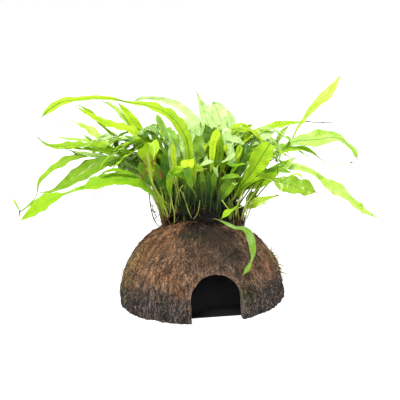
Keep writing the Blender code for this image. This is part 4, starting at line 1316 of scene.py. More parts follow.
def leaf(rows, look, draw, stalk=STALK_RADIUS, sides=SECTION_SIDES, spacing=STATION_SPACING):
    """A frond's mesh along rows of place, upper side and half width, in mm, with its marks."""
    smooth = curve_through(moved(rows, look.moves), 10)
    length = lengths_along(smooth)[-1]
    count = max(int(length / spacing), FEWEST_STATIONS)
    line = spaced(smooth, count)
    centre, upper, half_width = line[:, :3], line[:, 3:6], np.maximum(line[:, 6], 0.02)
    along = lengths_along(line)
    share = along / along[-1]
    chance = draw.random()
    tangent = unit(np.gradient(centre, axis=0))
    upper = unit(upper - tangent * (upper * tangent).sum(-1, keepdims=True))
    side = np.cross(tangent, upper)
    blade = smooth_step(1.15 * stalk, 2.2 * stalk, half_width)
    turn = math.radians(22) * noise(np.stack([along, along * 0, along * 0 + 90 * chance], -1), 22.0)
    for place, degrees, narrowing, spread in look.twists:
        bell = np.exp(-((share - place) / spread) ** 2)
        turn = turn + math.radians(degrees) * bell
        half_width = half_width * (1 - narrowing * bell)
    turn = (turn * blade)[:, None]
    cosine, sine = np.cos(turn), np.sin(turn)
    side, upper = side * cosine + upper * sine, upper * cosine - side * sine

    angle = 2 * np.pi * np.arange(sides) / sides
    v, top = np.cos(angle)[None], np.sin(angle)[None]
    margin = np.abs(v)
    spots = np.stack(np.broadcast_arrays(along[:, None], np.sign(v) * 20, 300 * chance), -1)
    wobble = 1 + (0.10 * noise(spots, 7.0) + 0.07 * noise(spots + 50, 3.2)) * (0.6 + 0.5 * look.wave)
    grown = half_width * smooth_step(0, 4, along[-1] - along) + 0.02
    across = v * (grown[:, None] * wobble)
    wave_length = draw.uniform(9, 14)
    phase = draw.uniform(0, 2 * np.pi, 2)
    sway = np.where(v > 0, np.sin(2 * np.pi * along[:, None] / wave_length + phase[0]),
                    np.sin(2 * np.pi * along[:, None] / (wave_length * 1.17) + phase[1]))
    ruffle = look.wave * (0.17 * sway + 0.20 * noise(spots + 20, 5.0)) * margin ** 2 * grown[:, None]
    surface = np.stack(np.broadcast_arrays(along[:, None], across, 70 * chance), -1)
    buckle = look.crinkle * (0.48 * noise(surface, 4.8) + 0.22 * noise(surface + 33, 2.5)) * (1 - margin ** 4)
    lens = np.where(top > 0, BLADE_HALF_THICKNESS, -BLADE_HALF_THICKNESS) * np.sqrt(np.abs(top))
    rib = np.exp(-(across / RIB_WIDTH) ** 2) * np.minimum(grown / 3, 1)[:, None]
    rib = np.where(top > 0, -0.35 * RIB_HEIGHT * rib, -RIB_HEIGHT * rib)
    fold = BLADE_FOLD * margin * grown[:, None]
    flat = blade[:, None]
    round_radius = np.minimum(stalk * (1.15 - 0.35 * share), np.maximum(half_width, 0.05))[:, None]
    lateral = (1 - flat) * round_radius * v + flat * across
    height = (1 - flat) * round_radius * top + flat * (lens + rib + fold + ruffle + buckle)
    rings = centre[:, None] + side[:, None] * lateral[..., None] + upper[:, None] * height[..., None]
    corners = np.vstack([rings.reshape(-1, 3), centre[-1:] + tangent[-1:] * 0.3])

    def spread_out(x, y, z):
        mark = np.stack(np.broadcast_arrays(x, y, z, lateral)[:3], axis=-1).reshape(-1, 3)
        return np.vstack([mark, mark[-1:]])

    green = blade if look.tail else np.where(share > 0.8, 1, blade)
    marks = {
        "leaf_place": spread_out(along[:, None], across, margin),
        "leaf_share": spread_out(share[:, None], chance, green[:, None]),
        "leaf_tone": spread_out(look.pale, look.yellow, look.deep),
        "leaf_mark": spread_out(look.rib, look.stain, look.crinkle),
    }
    return corners * MM, ring_faces(count, sides), marks


def small_leaf(rows, look, draw, stalk):
    """A small frond's mesh, with fewer corners."""
    return leaf(rows, look, draw, stalk, SMALL_SECTION_SIDES, SMALL_STATION_SPACING)


def build_fronds(finish):
    for number, node in enumerate(sorted(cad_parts)):
        if not node.startswith("frond_"):
            continue
        name = node[len("frond_"):]
        look = LOOKS.get(name, ROW_LOOKS[name.split("_")[0]])
        draw = np.random.default_rng(500 + number)
        corners, faces, marks = leaf(redrawn(frond_knots(node), look), look, draw)
        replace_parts(new_piece("leaf_" + name, corners, faces, finish, marks), node)


def course_rows(places, width, bare, hint=(0, 0, 1), count=22):
    """Rows for a small frond along a course in the fern's frame, its upper side towards a hint."""
    line = spaced(curve_through(places, 8), count)
    blade = np.maximum(np.linspace(0, 1, count) - bare, 0) / (1 - bare)
    half = np.maximum(width / 2 * np.sin(np.pi * blade ** 0.72) ** 0.85, 0.5)
    half[-1] = 0
    tangent = unit(np.gradient(line, axis=0))
    hint = np.asarray(hint, float)
    upper = unit(hint - tangent * (tangent @ hint)[:, None])
    return np.column_stack([from_fern(line) / MM, fern_direction(upper) / MM, half])


# Courses as (share of the reach, share of the top, share of the tip's height)
ARCHING = [(0, 0, 0), (0.02, 0.12, 0), (0.12, 0.50, 0), (0.38, 0.92, 0), (0.70, 0.80, 0.20), (1, 0, 1)]
UPRIGHT = [(0, 0, 0), (0.05, 0.25, 0), (0.16, 0.55, 0), (0.36, 0.85, 0), (0.65, 0.70, 0.30), (1, 0, 1)]


def course(foot, heading, reach, top, tip, shape):
    out = np.array([math.cos(heading), math.sin(heading), 0.0])
    return [foot + out * reach * far + np.array([0, 0, top * high + tip * end]) for far, high, end in shape]


def build_young_fronds(ground, finish):
    """Narrow young fronds between the others, too many and too small for the frame."""
    draw = np.random.default_rng(71)
    heap = Heap()
    for _ in range(80):
        x, y = draw.uniform(-31, 31), draw.uniform(7, 29)
        foot = mat_top(ground, x, y)
        heading = math.atan2(y - 9 + draw.normal(0, 14), x * 1.1 + draw.normal(0, 12))
        reach = draw.uniform(14, 54) * (0.45 if math.sin(heading) < -0.3 else 1)
        # Fronds whose feet lie further back get the pale tone, which is painted highlight, more often.
        overexposed = draw.random() < (0.6 if y > 12 else 0.35)
        look = Look(pale=0.8 * overexposed, yellow=draw.uniform(0, 0.5),
                    deep=draw.choice([0, 0.5], p=[0.85, 0.15]) * (not overexposed), rib=0.2,
                    wave=draw.uniform(1.0, 2.2), crinkle=draw.uniform(1.2, 2.6))
        places = course(foot, heading, reach, draw.uniform(40, 66), draw.uniform(34, 60), ARCHING)
        rows = course_rows(places, draw.uniform(5, 10), draw.uniform(0.25, 0.42))
        young = small_leaf(rows, look, draw, YOUNG_STALK_RADIUS)
        if places[-1][1] > 12:
            heap.add(*young)
    for number in range(34):
        left = number % 3 > 0
        heading = math.pi * left + draw.uniform(-0.55, 0.45) * (-1 if left else 1)
        foot = mat_top(ground, draw.uniform(12, 30) * (-1 if left else 1), draw.uniform(6, 26))
        look = Look(pale=draw.choice([0, 0.5, 0.9], p=[0.6, 0.2, 0.2]), yellow=draw.uniform(0, 0.5),
                    deep=draw.choice([0, 0.35], p=[0.6, 0.4]), rib=0.2, wave=draw.uniform(1.2, 2.4),
                    crinkle=draw.uniform(1.5, 3.0))
        reach = draw.uniform(34, 78) if left else draw.uniform(30, 58)
        places = course(foot, heading, reach, draw.uniform(46, 66), draw.uniform(32, 58), ARCHING)
        rows = course_rows(places, draw.uniform(5, 9), draw.uniform(0.22, 0.40))
        heap.add(*small_leaf(rows, look, draw, YOUNG_STALK_RADIUS))
    return heap.piece("young_fronds", finish, "leaf")


def build_heart(ground, finish):
    """Short broad old fronds, dark towards their feet with painted shade, that fill the middle of the clump.
    """
    draw = np.random.default_rng(73)
    heap = Heap()
    for _ in range(70):
        foot = mat_top(ground, draw.uniform(-24, 25), draw.uniform(-9, 3))
        heading = draw.uniform(-math.pi, 0)
        tip = draw.uniform(16, 30)
        look = Look(yellow=draw.uniform(0, 0.2), deep=draw.uniform(0.2, 1), rib=draw.choice([-0.3, 0.4]),
                    wave=draw.uniform(0.8, 2.0), crinkle=draw.uniform(1.0, 2.4))
        places = course(foot, heading, draw.uniform(1, 7), draw.uniform(0.9, 1.1) * tip, tip, UPRIGHT)
        rows = course_rows(places, draw.uniform(2.4, 5.5), draw.uniform(0.1, 0.4),
                           (draw.normal(0, 0.5), -1, 0.4))
        heap.add(*small_leaf(rows, look, draw, DARK_STALK_RADIUS))
    for _ in range(58):
        x, y = draw.uniform(-27, 29), draw.uniform(2, 29)
        foot = mat_top(ground, x, y)
        heading = math.atan2(y - 11 + draw.normal(0, 10), x * 0.8 + draw.normal(0, 8))
        tip = draw.uniform(24, 46)
        look = Look(yellow=draw.uniform(0, 0.3), deep=0.55, rib=0.3,
                    wave=draw.uniform(1.2, 2.2), crinkle=draw.uniform(2.0, 3.2))
        places = course(foot, heading, draw.uniform(5, 18), draw.uniform(0.9, 1.25) * tip, tip, UPRIGHT)
        rows = course_rows(places, draw.uniform(8, 14), draw.uniform(0.02, 0.12),
                           (-math.cos(heading), -math.sin(heading), 1.2))
        heap.add(*small_leaf(rows, look, draw, BROAD_STALK_RADIUS))
    return heap.piece("heart_fronds", finish, "leaf")


# Narrow dark blades in the middle of the clump: column, row of the tip, share of deep green, lean
HEART_BLADES = [(185, 175, 0.9, 0.5), (188, 170, 0.4, -0.8), (191.5, 177, 1, 0.6), (195, 169, 0.6, -0.4),
                (198, 174, 1, 0.8), (201.5, 168, 0.7, 0.3), (204.5, 175, 0.5, -0.6), (208, 169, 1, 0.5),
                (211, 173, 0.4, 0.9)]

# Thin dark stalks before them: column of the top and of the foot
STALKS_BEFORE_HEART = [(186, 189), (190, 187), (196, 194), (203, 205), (207, 204), (212, 210), (176, 179),
                       (219, 217)]

# Small leaves between and before the fronds, where the photograph shows them
SPRIGS = [
    # Middle, left to right
    Look(deep=0.8, stain=1, face=FORWARD, course=(
        (151, 185, -12, 1.6), (146, 177, -14, 6.5), (142, 168, -15, 6.5), (140, 160, -15, 1.6))),
    Look(deep=0.8, stain=1, face=FORWARD, course=(
        (160, 187, -12, 1.6), (158, 178, -14, 6.5), (156, 169, -15, 6.5), (155, 161, -15, 1.6))),
    Look(pale=0.55, deep=0.2, crinkle=2, face=FORWARD, course=(
        (174, 185, -6, 1.5), (174, 168, -7, 7), (174.5, 155, -7, 9.5), (174, 146, -7, 8),
        (173, 139, -7, 2))),
    Look(deep=1, face=FORWARD, course=(
        (172, 200, -6, 1.6), (168, 185, -9, 7), (165, 172, -12, 8), (164, 160, -14, 5),
        (163, 152, -15, 1))),
    Look(yellow=0.2, deep=0.5, course=(
        (157, 196, -12, 1.2), (161, 201, -13, 2.4), (164, 207, -13, 2.4), (168, 214, -13, 0.8))),
    Look(deep=0.6, crinkle=2, course=((181, 172, -12, 1.6), (180, 163, -13, 5), (178, 156, -13, 1.5))),
    Look(deep=0.65, face=FORWARD, course=(
        (186, 168, -37, 5), (188, 174, -38.5, 6.5), (190, 181, -39, 5.5), (192, 190, -38, 1))),
    Look(yellow=0.35, face=FORWARD, course=(
        (203, 171, -22, 2.4), (199, 168.5, -24, 5), (195, 167, -26, 5), (192, 167.5, -27, 1))),
    Look(pale=0.8, crinkle=2, course=(
        (198, 167, -15, 1.6), (204, 164, -16, 4), (210, 162, -17, 3.5), (215, 161, -17, 0.8))),
    Look(deep=1, course=((215, 164.5, -18, 1.2), (218, 161.5, -19, 2.2), (222, 161.5, -19, 0.8))),
    Look(pale=1, face=FORWARD, course=((204, 166, -9, 1.2), (206, 160, -9, 2.8), (207.5, 154, -8, 1))),
    Look(pale=1, wave=2.5, crinkle=3.5, face=FORWARD, course=(
        (233, 165, -4, 3), (230, 154, -3, 8), (227, 143, 0, 9), (225, 131, 6, 7), (224, 124, 10, 1.5))),
    Look(pale=0.7, crinkle=3, course=(
        (222, 163, -10, 1.6), (228, 159, -11, 5), (234, 155.5, -11, 5), (238, 152, -11, 1.2))),
    Look(pale=0.8, crinkle=3, course=(
        (245, 146, 0, 2.4), (238, 141, 1, 7), (230, 139, 2, 7), (223, 141, 2, 1.6))),
    Look(yellow=1, face=FORWARD, course=((227, 154, -7, 1.2), (226, 148, -8, 3.4), (225.5, 142, -8, 1))),
    Look(yellow=0.1, face=FORWARD, course=(
        (235, 170, -11, 1.6), (238, 158, -13, 4), (239.5, 150, -13, 5), (240.5, 142.5, -12, 2.4))),
    Look(yellow=0.7, face=FORWARD, course=(
        (234, 163, -15, 0.8), (238.5, 156, -16, 2), (243, 148.5, -15, 0.8))),
    Look(deep=0.15, course=(
        (230, 176, -16, 1.6), (235, 168, -18, 5), (241, 165, -20, 4), (248, 163.5, -21, 1))),
    Look(pale=0.5, yellow=0.5, course=((249.5, 162, -22, 0.7), (248.5, 166, -22, 2), (245, 171, -22, 0.8))),
    Look(deep=0.1, course=((227, 163, -14, 1.6), (233, 165, -16, 4), (241, 165, -17, 1.2))),
    Look(deep=0.55, face=FORWARD, course=(
        (213, 193, -13, 1.2), (213.5, 185, -16, 3.4), (214, 177, -18, 4), (213.5, 170, -19, 1.2))),
    Look(pale=0.8, yellow=0.5, course=((218, 177, -21, 1), (215.5, 171, -22, 3.2), (212, 165.5, -22, 1.2))),
    Look(pale=0.7, course=((216, 176, -22, 0.8), (216.5, 170, -23, 2), (218, 165, -22, 0.8))),
    Look(deep=0.6, crinkle=1.8, face=FORWARD, course=(
        (217, 206, -11, 1.6), (221, 197, -14, 6.5), (226, 189, -16, 9.5), (231, 182, -17, 9.5),
        (236, 176.5, -17, 4))),
    Look(deep=0.25, crinkle=2, face=FORWARD, course=(
        (236, 196, -10, 1.6), (241, 188, -13, 5.5), (246, 180, -15, 8), (250, 173, -16, 5.5),
        (253, 168, -16, 1.5))),
    Look(deep=0.2, course=(
        (221, 179, -18, 1.2), (228, 176.5, -19, 3.6), (236, 176, -19, 3.4), (242, 178, -19, 0.8))),
    Look(pale=0.5, yellow=0.3, course=((231, 182, -20, 0.7), (235, 184.5, -21, 1.4), (238, 182.5, -20, 0.8))),
    *(Look(deep=deep, face=FORWARD, course=(
        (column, 207, -9, 1.4), (column + lean, 193, -12, 3.2), (column + 2 * lean, 182, -14, 4),
        (column, top, -15, 1.6))) for column, top, deep, lean in HEART_BLADES),
    Look(pale=1, crinkle=2.5, face=FORWARD, course=(
        (208, 137, 36, 3), (207, 123, 40, 8), (207, 111, 44, 8), (209, 103.5, 46, 2))),
    Look(pale=1, yellow=0.4, crinkle=2.5, face=FORWARD, course=(
        (228, 140, 30, 3), (231, 130, 32, 6), (231, 119, 34, 6), (227, 109, 36, 1.5))),
    # Left cluster
    Look(pale=1, crinkle=3, course=(
        (100, 139, 30, 1.6), (106, 136, 30, 5), (112, 134, 30, 5), (118, 133, 30, 1.2))),
    Look(deep=0.8, course=(
        (117, 152, 20, 1.6), (116, 145, 21, 4), (115.5, 138, 22, 3.2), (117, 134, 22, 0.8))),
    Look(yellow=0.3, course=((114, 140, 18, 0.8), (117, 138, 17.5, 2.4), (119.5, 137, 17, 0.8))),
    Look(pale=0.4, yellow=0.6, course=(
        (110, 156, 6, 1), (117, 151.5, 4, 1.8), (125, 147, 2, 2), (131, 144, 1, 1.6), (135, 143, 0, 0.8))),
    Look(deep=0.3, crinkle=2.5, course=(
        (113, 152, 14, 1.6), (119, 148, 13, 5), (126, 146, 12, 5), (131, 148, 12, 1.6))),
    Look(deep=0.5, crinkle=2.5, course=(
        (118, 157, 8, 1.6), (124, 153, 8, 5), (130, 152, 8, 4), (134, 154, 8, 1.2))),
    Look(deep=0.1, crinkle=2.5, course=(
        (126, 142, 10, 1.6), (131, 139, 9, 4), (137, 138, 8, 4), (142, 140, 8, 1.2))),
    Look(deep=0.3, crinkle=2.5, course=(
        (131, 152, 4, 1.6), (136, 147, 3, 4), (141, 144, 2, 4), (146, 143, 2, 1.2))),
    Look(deep=0.6, pale=0.3, crinkle=3.5, wave=2.5, course=(
        (139, 136, 14, 1.6), (144, 130, 14, 5), (150, 128, 14, 5), (156, 132, 14, 4), (158, 138, 14, 1.2))),
    Look(deep=0.8, crinkle=3, wave=2.5, course=(
        (142, 139, 12, 1.6), (148, 134, 12, 4), (154, 135, 12, 3.4), (157, 140, 12, 1.2))),
    Look(deep=0.25, pale=0.2, face=FORWARD, course=(
        (168, 140, 10, 2.4), (163, 128, 12, 5.5), (159, 119, 13, 5), (156, 113, 14, 1.2))),
    Look(pale=0.3, deep=0.5, course=(
        (112, 158, 2, 0.8), (118, 161, 2, 2.4), (126, 164, 2, 2.4), (134, 167, 2, 1.8),
        (140, 171, 2, 0.8))),
    Look(pale=0.3, deep=0.5, course=((115, 163, 4, 0.8), (121, 168, 4, 2.4), (127, 172, 4, 0.8))),
    Look(yellow=0.3, crinkle=1.8, course=(
        (114, 155, 8, 2.4), (104, 151.5, 8, 5), (92, 149.5, 8, 5), (80, 149, 8, 3.6), (70, 148, 8, 1.8),
        (64, 147, 8, 0.7))),
    Look(pale=0.5, deep=0.3, crinkle=1.8, course=(
        (112, 158, 6, 2.4), (102, 156.5, 5, 5), (92, 155, 4, 5), (82, 153.5, 4, 3.2), (72, 151, 4, 1.4),
        (65, 149, 4, 0.7))),
    Look(deep=0.9, course=((84, 157.5, 3, 1.2), (76, 153.5, 3, 2), (70, 150, 3, 1))),
    Look(deep=0.4, pale=0.2, course=((94, 141.5, 20, 1), (88, 138, 20, 2), (82, 134, 20, 0.7))),
    Look(pale=0.4, yellow=0.4, course=((84, 185.5, -21, 1.6), (76, 188, -21, 1.6), (68, 190.5, -21, 0.6))),
    Look(yellow=0.6, pale=0.3, course=(
        (20.5, 211.5, 10, 0.9), (17.5, 207, 11, 1.6), (14.5, 201, 12, 1.8), (13, 197, 13, 0.7))),
    # Right side
    Look(pale=0.5, yellow=0.5, course=(
        (277, 140, 2, 0.7), (280, 148, 0, 1.6), (280.5, 155, -1, 1.6), (277.5, 162, -2, 0.7))),
    Look(deep=0.4, pale=0.2, face=FORWARD, course=(
        (276, 160, -8, 1.6), (277.5, 153, -7, 3), (276.5, 147, -6, 2.4), (275, 143, -5, 0.8))),
    Look(deep=0.2, course=(
        (282, 150, 4, 1), (287, 147, 3, 3.2), (290, 142, 2, 2.8), (288, 137, 2, 2), (283, 136.5, 3, 0.7))),
    Look(yellow=0.5, pale=0.4, course=(
        (282, 172, -12, 1.2), (287, 167, -13, 4.4), (291, 162, -14, 4.4), (295, 158, -14, 1.2))),
    Look(deep=0.6, course=((272, 168, -10, 0.8), (279, 164.5, -10, 1.8), (287, 163, -10, 0.7))),
    Look(deep=0.4, crinkle=2, course=(
        (256, 176, -14, 1.6), (264, 172, -16, 3.2), (274, 169.5, -18, 4), (284, 171, -20, 3.6),
        (293, 173.5, -21, 0.8))),
    Look(yellow=0.6, course=(
        (290, 176, -22, 1.6), (297, 174.5, -23, 4), (301, 176, -23, 3.2), (303.5, 178.5, -23, 0.8))),
    Look(yellow=0.35, course=(
        (250, 172, -18, 1.6), (259, 174, -19, 5), (268, 177.5, -20, 5.5), (275, 180, -21, 3.2),
        (279, 183, -21, 0.8))),
    Look(pale=1, crinkle=3, course=(
        (251, 146, 3, 1.6), (258, 141, 3, 7), (266, 136, 3, 8), (275, 132, 4, 1.6))),
    Look(yellow=0.6, course=((243, 143, 2, 1.6), (248, 138, 2, 5.5), (253, 133, 3, 6), (260, 127.5, 4, 1.2))),
    Look(deep=0.1, yellow=0.2, course=(
        (235, 128, 4, 1.2), (242, 130, 3, 6), (249, 132, 3, 6), (256, 137, 3, 1.2))),
    Look(deep=0.5, face=FORWARD, course=((243, 163, -13, 1.6), (249, 157, -14, 5), (256, 151.5, -14, 1.6))),
    Look(deep=0.7, crinkle=2, face=FORWARD, course=(
        (247, 203, -8, 1.6), (250, 198, -10, 6.5), (254, 194, -10, 6.5), (258, 191.5, -10, 1.6))),
    Look(yellow=0.25, deep=0.1, crinkle=1.5, course=(
        (238, 199, -3, 1.6), (245, 189.5, -5, 6), (253, 182, -7, 8), (261, 177, -9, 5),
        (266, 174, -10, 1.2))),
    Look(deep=0.3, course=((236, 190, -4, 1.6), (241, 182, -5, 5), (246, 175, -6, 5), (250, 170, -6, 1.2))),
    Look(yellow=0.2, deep=0.3, course=(
        (256, 194, -9, 1.6), (259.5, 187, -9, 3.6), (264, 180, -9, 3.2), (267, 176, -9, 0.8))),
    Look(yellow=0.4, course=((250, 206, -10, 2.4), (258, 204, -13, 4.4), (267, 203.5, -15, 1))),
    Look(yellow=0.1, rib=0.1, course=(
        (240, 204, -12, 0.9), (232, 210, -22, 2), (227, 213, -24, 5), (221, 219, -25, 1))),
]

# Threads and loose stalks: radius; light, warmth and green of the colour; course as (column, row, depth)
THREADS = [
    (0.55, 0.05, 0.1, 0.2, [
        (148, 188, -6), (149.5, 197, -7), (150.3, 204, -8), (151.5, 211, -9), (153.5, 218.5, -9),
        (156, 223, -9), (159, 226.5, -9), (163, 228, -8)]),
    (0.3, 0.1, 0.4, 0, [(152, 206, -8), (154.5, 213, -8), (158, 219, -8), (162, 223, -8)]),
    (0.28, 0.1, 0.5, 0, [(153, 219, -9), (157, 216.5, -8), (162, 213, -8)]),
    (0.24, 0.15, 0.4, 0, [(150.5, 204, -8), (154, 206.7, -8), (159.4, 209.5, -8), (163, 212, -8)]),
    (0.2, 0.15, 0.4, 0, [(153.2, 217.2, -9), (156, 214.4, -9), (160, 215, -9)]),
    (0.2, 0.15, 0.4, 0, [(154, 220, -9), (159.5, 220.5, -9)]),
    (0.28, 0.4, 0.3, 0.5, [
        (148, 190, -7), (152, 198, -9), (155, 203.5, -10), (158.5, 207, -11), (162, 213, -12)]),
    (0.34, 0.1, 0.5, 0, [(154, 195, -9), (158, 202, -11), (160, 208, -12), (162, 218, -13)]),
    (0.45, 0.4, 0, 0.9, [(222, 200, -15), (226, 206, -19), (231, 211.5, -22)]),
    (0.45, 0.6, 0, 0.9, [(157, 190, -10), (160, 199, -12), (165, 208, -14), (168, 219, -14)]),
    (0.4, 0.5, 0, 0.8, [(160, 186, -9), (163, 197, -12), (164, 207, -14), (170, 218, -14)]),
    (0.45, 0.7, 0, 0.85, [(169, 180, -16), (170.5, 190, -17), (171, 202, -18), (169.7, 215, -16)]),
    (0.45, 0.7, 0, 0.8, [(171, 196, -17), (172.5, 205, -18), (174.4, 213, -18), (174.4, 224, -15)]),
    (0.38, 0.7, 0, 0.8, [(183, 185, -14), (178, 193, -14), (176, 202, -13), (176, 214, -12)]),
    (0.38, 0.7, 0, 0.8, [(180, 189, -14), (185, 200, -15), (190, 214, -14)]),
    (0.38, 0.6, 0, 0.8, [(174, 180, -14), (177, 192, -14), (179, 207, -13)]),
    (0.38, 0.5, 0, 0.8, [(183, 192, -14), (187, 207, -16), (192, 219, -16)]),
    (0.38, 0.4, 0, 0.7, [(200, 200, -12), (198, 212, -15), (193, 220, -16)]),
    (0.26, 0.05, -0.3, 0, [(206, 218.5, -14), (213, 219.3, -17), (219, 220.5, -22), (223, 222, -25)]),
    *((0.24, 0.06, -0.2, 0.16, [(foot, 213, -15), (top - 1, 199, -16), (top, 186, -15),
                                (top + 0.5, 176, -13)]) for top, foot in STALKS_BEFORE_HEART),
    (0.7, 0.7, 0, 0.9, [(262, 181, -6), (254, 193, -8), (248, 207, -9), (245, 222, -10)]),
    (0.55, 0.5, 0.3, 0.7, [(256, 184, -6), (249, 195, -8), (245, 208, -9), (243, 223, -10)]),
    (0.5, 0.3, 0.4, 0.5, [(249, 183, -4), (241, 194, -6), (238, 206, -8), (239, 222, -10)]),
    (0.65, 0.7, 0, 0.95, [(268, 184, -4), (259, 194, -6), (252, 205, -8), (246, 221, -9)]),
    (0.6, 0.7, 0, 0.95, [(258, 184, -10), (250, 192, -11), (247, 201, -11), (245, 214, -10)]),
    (0.5, 0.6, 0.1, 0.9, [(243, 196, -12), (238, 206, -13), (236, 218, -12)]),
    (0.65, 0.6, 0, 0.9, [(252, 178, -12), (244, 190, -14), (238, 203, -14), (235, 217, -13)]),
    (0.6, 0.5, 0, 0.8, [(260, 186, -14), (252, 196, -14), (245, 207, -14), (241, 221, -12)]),
    (0.45, 0.6, 0.1, 0.95, [
        (278, 194.5, -14), (262, 201, -13), (246, 205, -13), (234, 210, -17), (224, 216, -22)]),
    (0.34, 0.9, 0, 0.85, [(193, 173.5, -28), (200, 170, -28), (208, 168.5, -26)]),
    (0.34, 0.8, 0, 0.85, [(279, 179, -25), (284, 176, -25), (288, 175, -25)]),
    (0.55, 0, 0, 0, [(321, 122.3, 19.4), (323, 122.2, 19.2), (325, 122.3, 19)]),
    (0.6, 0, 0, 0, [(350.5, 163, 14.1), (351.5, 162.6, 14), (352.8, 162.4, 14)]),
    (0.24, 0.2, 0.1, 0.1, [(277, 161, -20), (277.5, 172, -20), (278, 184, -20)]),
    (0.8, 0, 0.3, 0, [(275.5, 160, -20), (276.5, 160.8, -20), (277.5, 162, -20)]),
    (0.6, 0.1, 0.3, 0, [(20, 210, 10), (19.5, 212.5, 10), (19, 216, 10)]),
    (0.2, 0.6, 0, 0.8, [(19.5, 213, 10), (17, 221, 11), (14, 231, 12)]),
]

# Root hairs start along the left loop, from this column, row and depth on, over this stretch
LOOP_LOW = np.array([154.5, 221, -9])
LOOP_STRETCH = np.array([-5, -22, 2])


def build_sprigs(finish):
    draw = np.random.default_rng(79)
    heap = Heap()
    for look in SPRIGS:
        heap.add(*small_leaf(seen_rows(look), look, draw, SPRIG_STALK_RADIUS))
    return heap.piece("sprigs", finish, "leaf")


def build_threads(finish):
    """Loops and ends of thin stalks, and root hairs that branch from the left loop."""
    draw = np.random.default_rng(97)
    heap = Heap()
    steps = 14
    for radius, light, warm, green, seen in THREADS:
        line = spaced(curve_through(sighted(seen), 8), steps)[None]
        corners, faces = strands(from_fern(line), np.linspace(radius, radius * 0.7, steps)[None] * MM, 5)
        heap.add(corners, faces, {"strand_tint": np.tile([light, warm, green], (len(corners), 1))})
    for _ in range(26):
        rise = draw.uniform(0.05, 0.8)
        start = sighted(LOOP_LOW + LOOP_STRETCH * [rise ** 0.6, rise, rise])
        drift = draw.normal((0.8, 0.3, -0.3), 0.5, 3)
        reach = draw.uniform(3, 9)
        bend = draw.normal(0, 1.4, 3)
        places = [start + drift * reach * t + bend * t * t for t in np.linspace(0, 1, 5)]
        line = np.array(places)[None]
        corners, faces = strands(from_fern(line), np.linspace(0.22, 0.09, 5)[None] * MM)
        tint = [draw.uniform(0.05, 0.4), draw.uniform(0.4, 0.9), 0]
        heap.add(corners, faces, {"strand_tint": np.tile(tint, (len(corners), 1))})
    return heap.piece("threads", finish, "roots")


def mat_top(ground, x, y):
    """The top of the mat under a place in the fern's frame, mm in that frame."""
    above = Vector(from_fern([x, y, 200]))
    hit = ground.ray_cast(above, Vector((0, 0, -1)))[0]
    return np.array([x, y, hit.z / MM - 0.4])


def build_stalks(ground, finish):
    """Bare thin stalks of lost and unseen fronds, thick between the mat and the blades."""
    draw = np.random.default_rng(83)
    count, steps, sides = 120, 12, 5
    routes = np.zeros((count, steps, 3))
    for index in range(count):
        x = draw.uniform(-27, 33)
        y = draw.uniform(-8, 28) if x > -12 else draw.uniform(-2, 28)
        foot = mat_top(ground, x, y)
        lean = np.array([x * 0.006 + draw.normal(0, 0.13), (y - 9) * 0.010 + draw.normal(0, 0.13), 1])
        bow = np.array([draw.normal(0, 3), draw.normal(0, 3), 0])
        rise = draw.uniform(18, 40)
        t = np.linspace(0, 1, steps)[:, None]
        routes[index] = foot + lean * rise * t + bow * t * t + draw.normal(0, 0.25, (steps, 3)) * t
    thickness = draw.uniform(0.22, 0.46, count)[:, None] * np.linspace(1, 0.55, steps)
    corners, faces = strands(from_fern(routes), thickness * MM, sides)
    t = np.repeat(np.linspace(0.04, 0.30, steps)[:-1], sides)
    share = np.tile(np.append(t, 0.3), count)
    # Stalks left of the middle are more often olive than dark: painted light, where the side light falls on
    # them.
    light = np.where(routes[:, :1, 0] < -12, 0.55, 1) * draw.random((count, 1))
    chance = per_corner(light, steps, sides)[:, 0]
    blank = np.zeros(len(corners))
    columns = {"leaf_place": (share * 100, blank, blank), "leaf_share": (share, chance, blank),
               "leaf_tone": (blank, blank, blank), "leaf_mark": (blank, blank, blank)}
    marks = {title: np.stack(values, axis=1) for title, values in columns.items()}
    return new_piece("bare_stalks", corners, faces, finish, marks)


# Stage, light and camera

# The card is painted shade: a dark sheet where the floor lies in the cave's shade.
# A dark card lies on the floor inside the cave. Its front edge is straight, as the edge of the
# dark floor in the doorway of the photograph, between these two angles of its rim.
CARD_FROM = math.radians(-62)
CARD_TO = math.radians(231)
CARD_STEPS = 60
CARD_HEIGHT = 0.05
# How far the card's rim reaches into the wall
CARD_TUCK = 1.5
FLOOR_SIZE = 12000.0
FLOOR_HEIGHT = -0.2


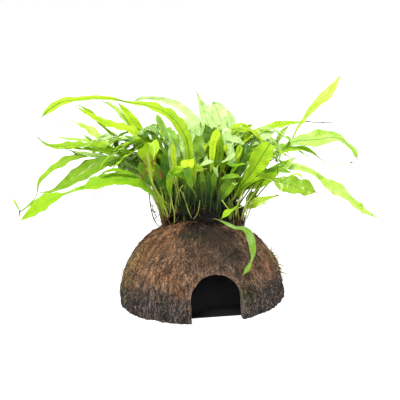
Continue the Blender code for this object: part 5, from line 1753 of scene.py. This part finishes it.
def build_stage():
    bpy.ops.mesh.primitive_plane_add(size=FLOOR_SIZE * MM, location=(0, 0, FLOOR_HEIGHT * MM))
    floor = bpy.context.object
    floor.name = "floor"
    floor.data.materials.append(floor_finish())
    radius = SHELL_RADIUS - SHELL_WALL + CARD_TUCK
    card_outline = [(radius * math.cos(angle), radius * math.sin(angle), CARD_HEIGHT)
                    for angle in np.linspace(CARD_FROM, CARD_TO, CARD_STEPS)]
    mesh = bpy.data.meshes.new("painted_shade_card")
    mesh.from_pydata([tuple(place) for place in from_shell(card_outline)], [], [range(len(card_outline))])
    card = bpy.data.objects.new("painted_shade_card", mesh)
    bpy.context.scene.collection.objects.link(card)
    mesh.materials.append(card_finish())


def add_light():
    scene = bpy.context.scene
    scene.view_settings.view_transform = "Standard"
    world = bpy.data.worlds.new("studio")
    scene.world = world
    world.use_nodes = True
    sky = world.node_tree.nodes["Background"]
    sky.inputs["Color"].default_value = (1, 1, 1, 1)
    sky.inputs["Strength"].default_value = 1.0
    for name, energy, angle, tilt, turn in (("key", 5.6, 22, 27, -32), ("fill", 0.8, 60, 50, 60)):
        lamp = bpy.data.lights.new(name, "SUN")
        lamp.energy = energy
        lamp.angle = math.radians(angle)
        light = bpy.data.objects.new(name, lamp)
        light.rotation_euler = (math.radians(tilt), 0, math.radians(turn))
        scene.collection.objects.link(light)


def add_camera():
    right, up, ahead = camera_axes()
    turn = Matrix.Rotation(FERN_TURN, 3, "Z")
    place = turn @ (CAMERA_AIM - ahead * CAMERA_DISTANCE) + Vector(AXIS)
    facing = Matrix((turn @ right, turn @ up, turn @ -ahead)).transposed()
    lens = bpy.data.cameras.new("camera")
    lens.lens = CAMERA_LENS
    lens.sensor_width = CAMERA_SENSOR
    lens.clip_start = 0.01
    lens.clip_end = 50
    camera = bpy.data.objects.new("camera", lens)
    bpy.context.scene.collection.objects.link(camera)
    camera.matrix_world = Matrix.Translation(place * MM) @ facing.to_4x4()
    bpy.context.scene.camera = camera


def main():
    husk = husk_finish()
    fibre = fibre_finish("husk fibre", 0.0, HUSK_DARK)
    root = fibre_finish("root", 0.15, ROOT_DARK)
    green = leaf_finish()
    shell = build_shell(husk)
    for name, kind in HUSK_FIBRES.items():
        build_husk_fibres(name, kind, fibre)
    build_loose_hairs(fibre)
    mat = build_mat(mat_finish())
    rhizomes = build_rhizomes(rhizome_finish())
    ground = tree_of([shell, mat, *rhizomes])
    build_roots(ground, root)
    build_shoulder_roots(ground, root)
    build_fronds(green)
    build_young_fronds(ground, green)
    build_heart(ground, green)
    build_sprigs(green)
    build_threads(root)
    build_stalks(ground, green)
    build_stage()
    add_light()
    add_camera()


main()
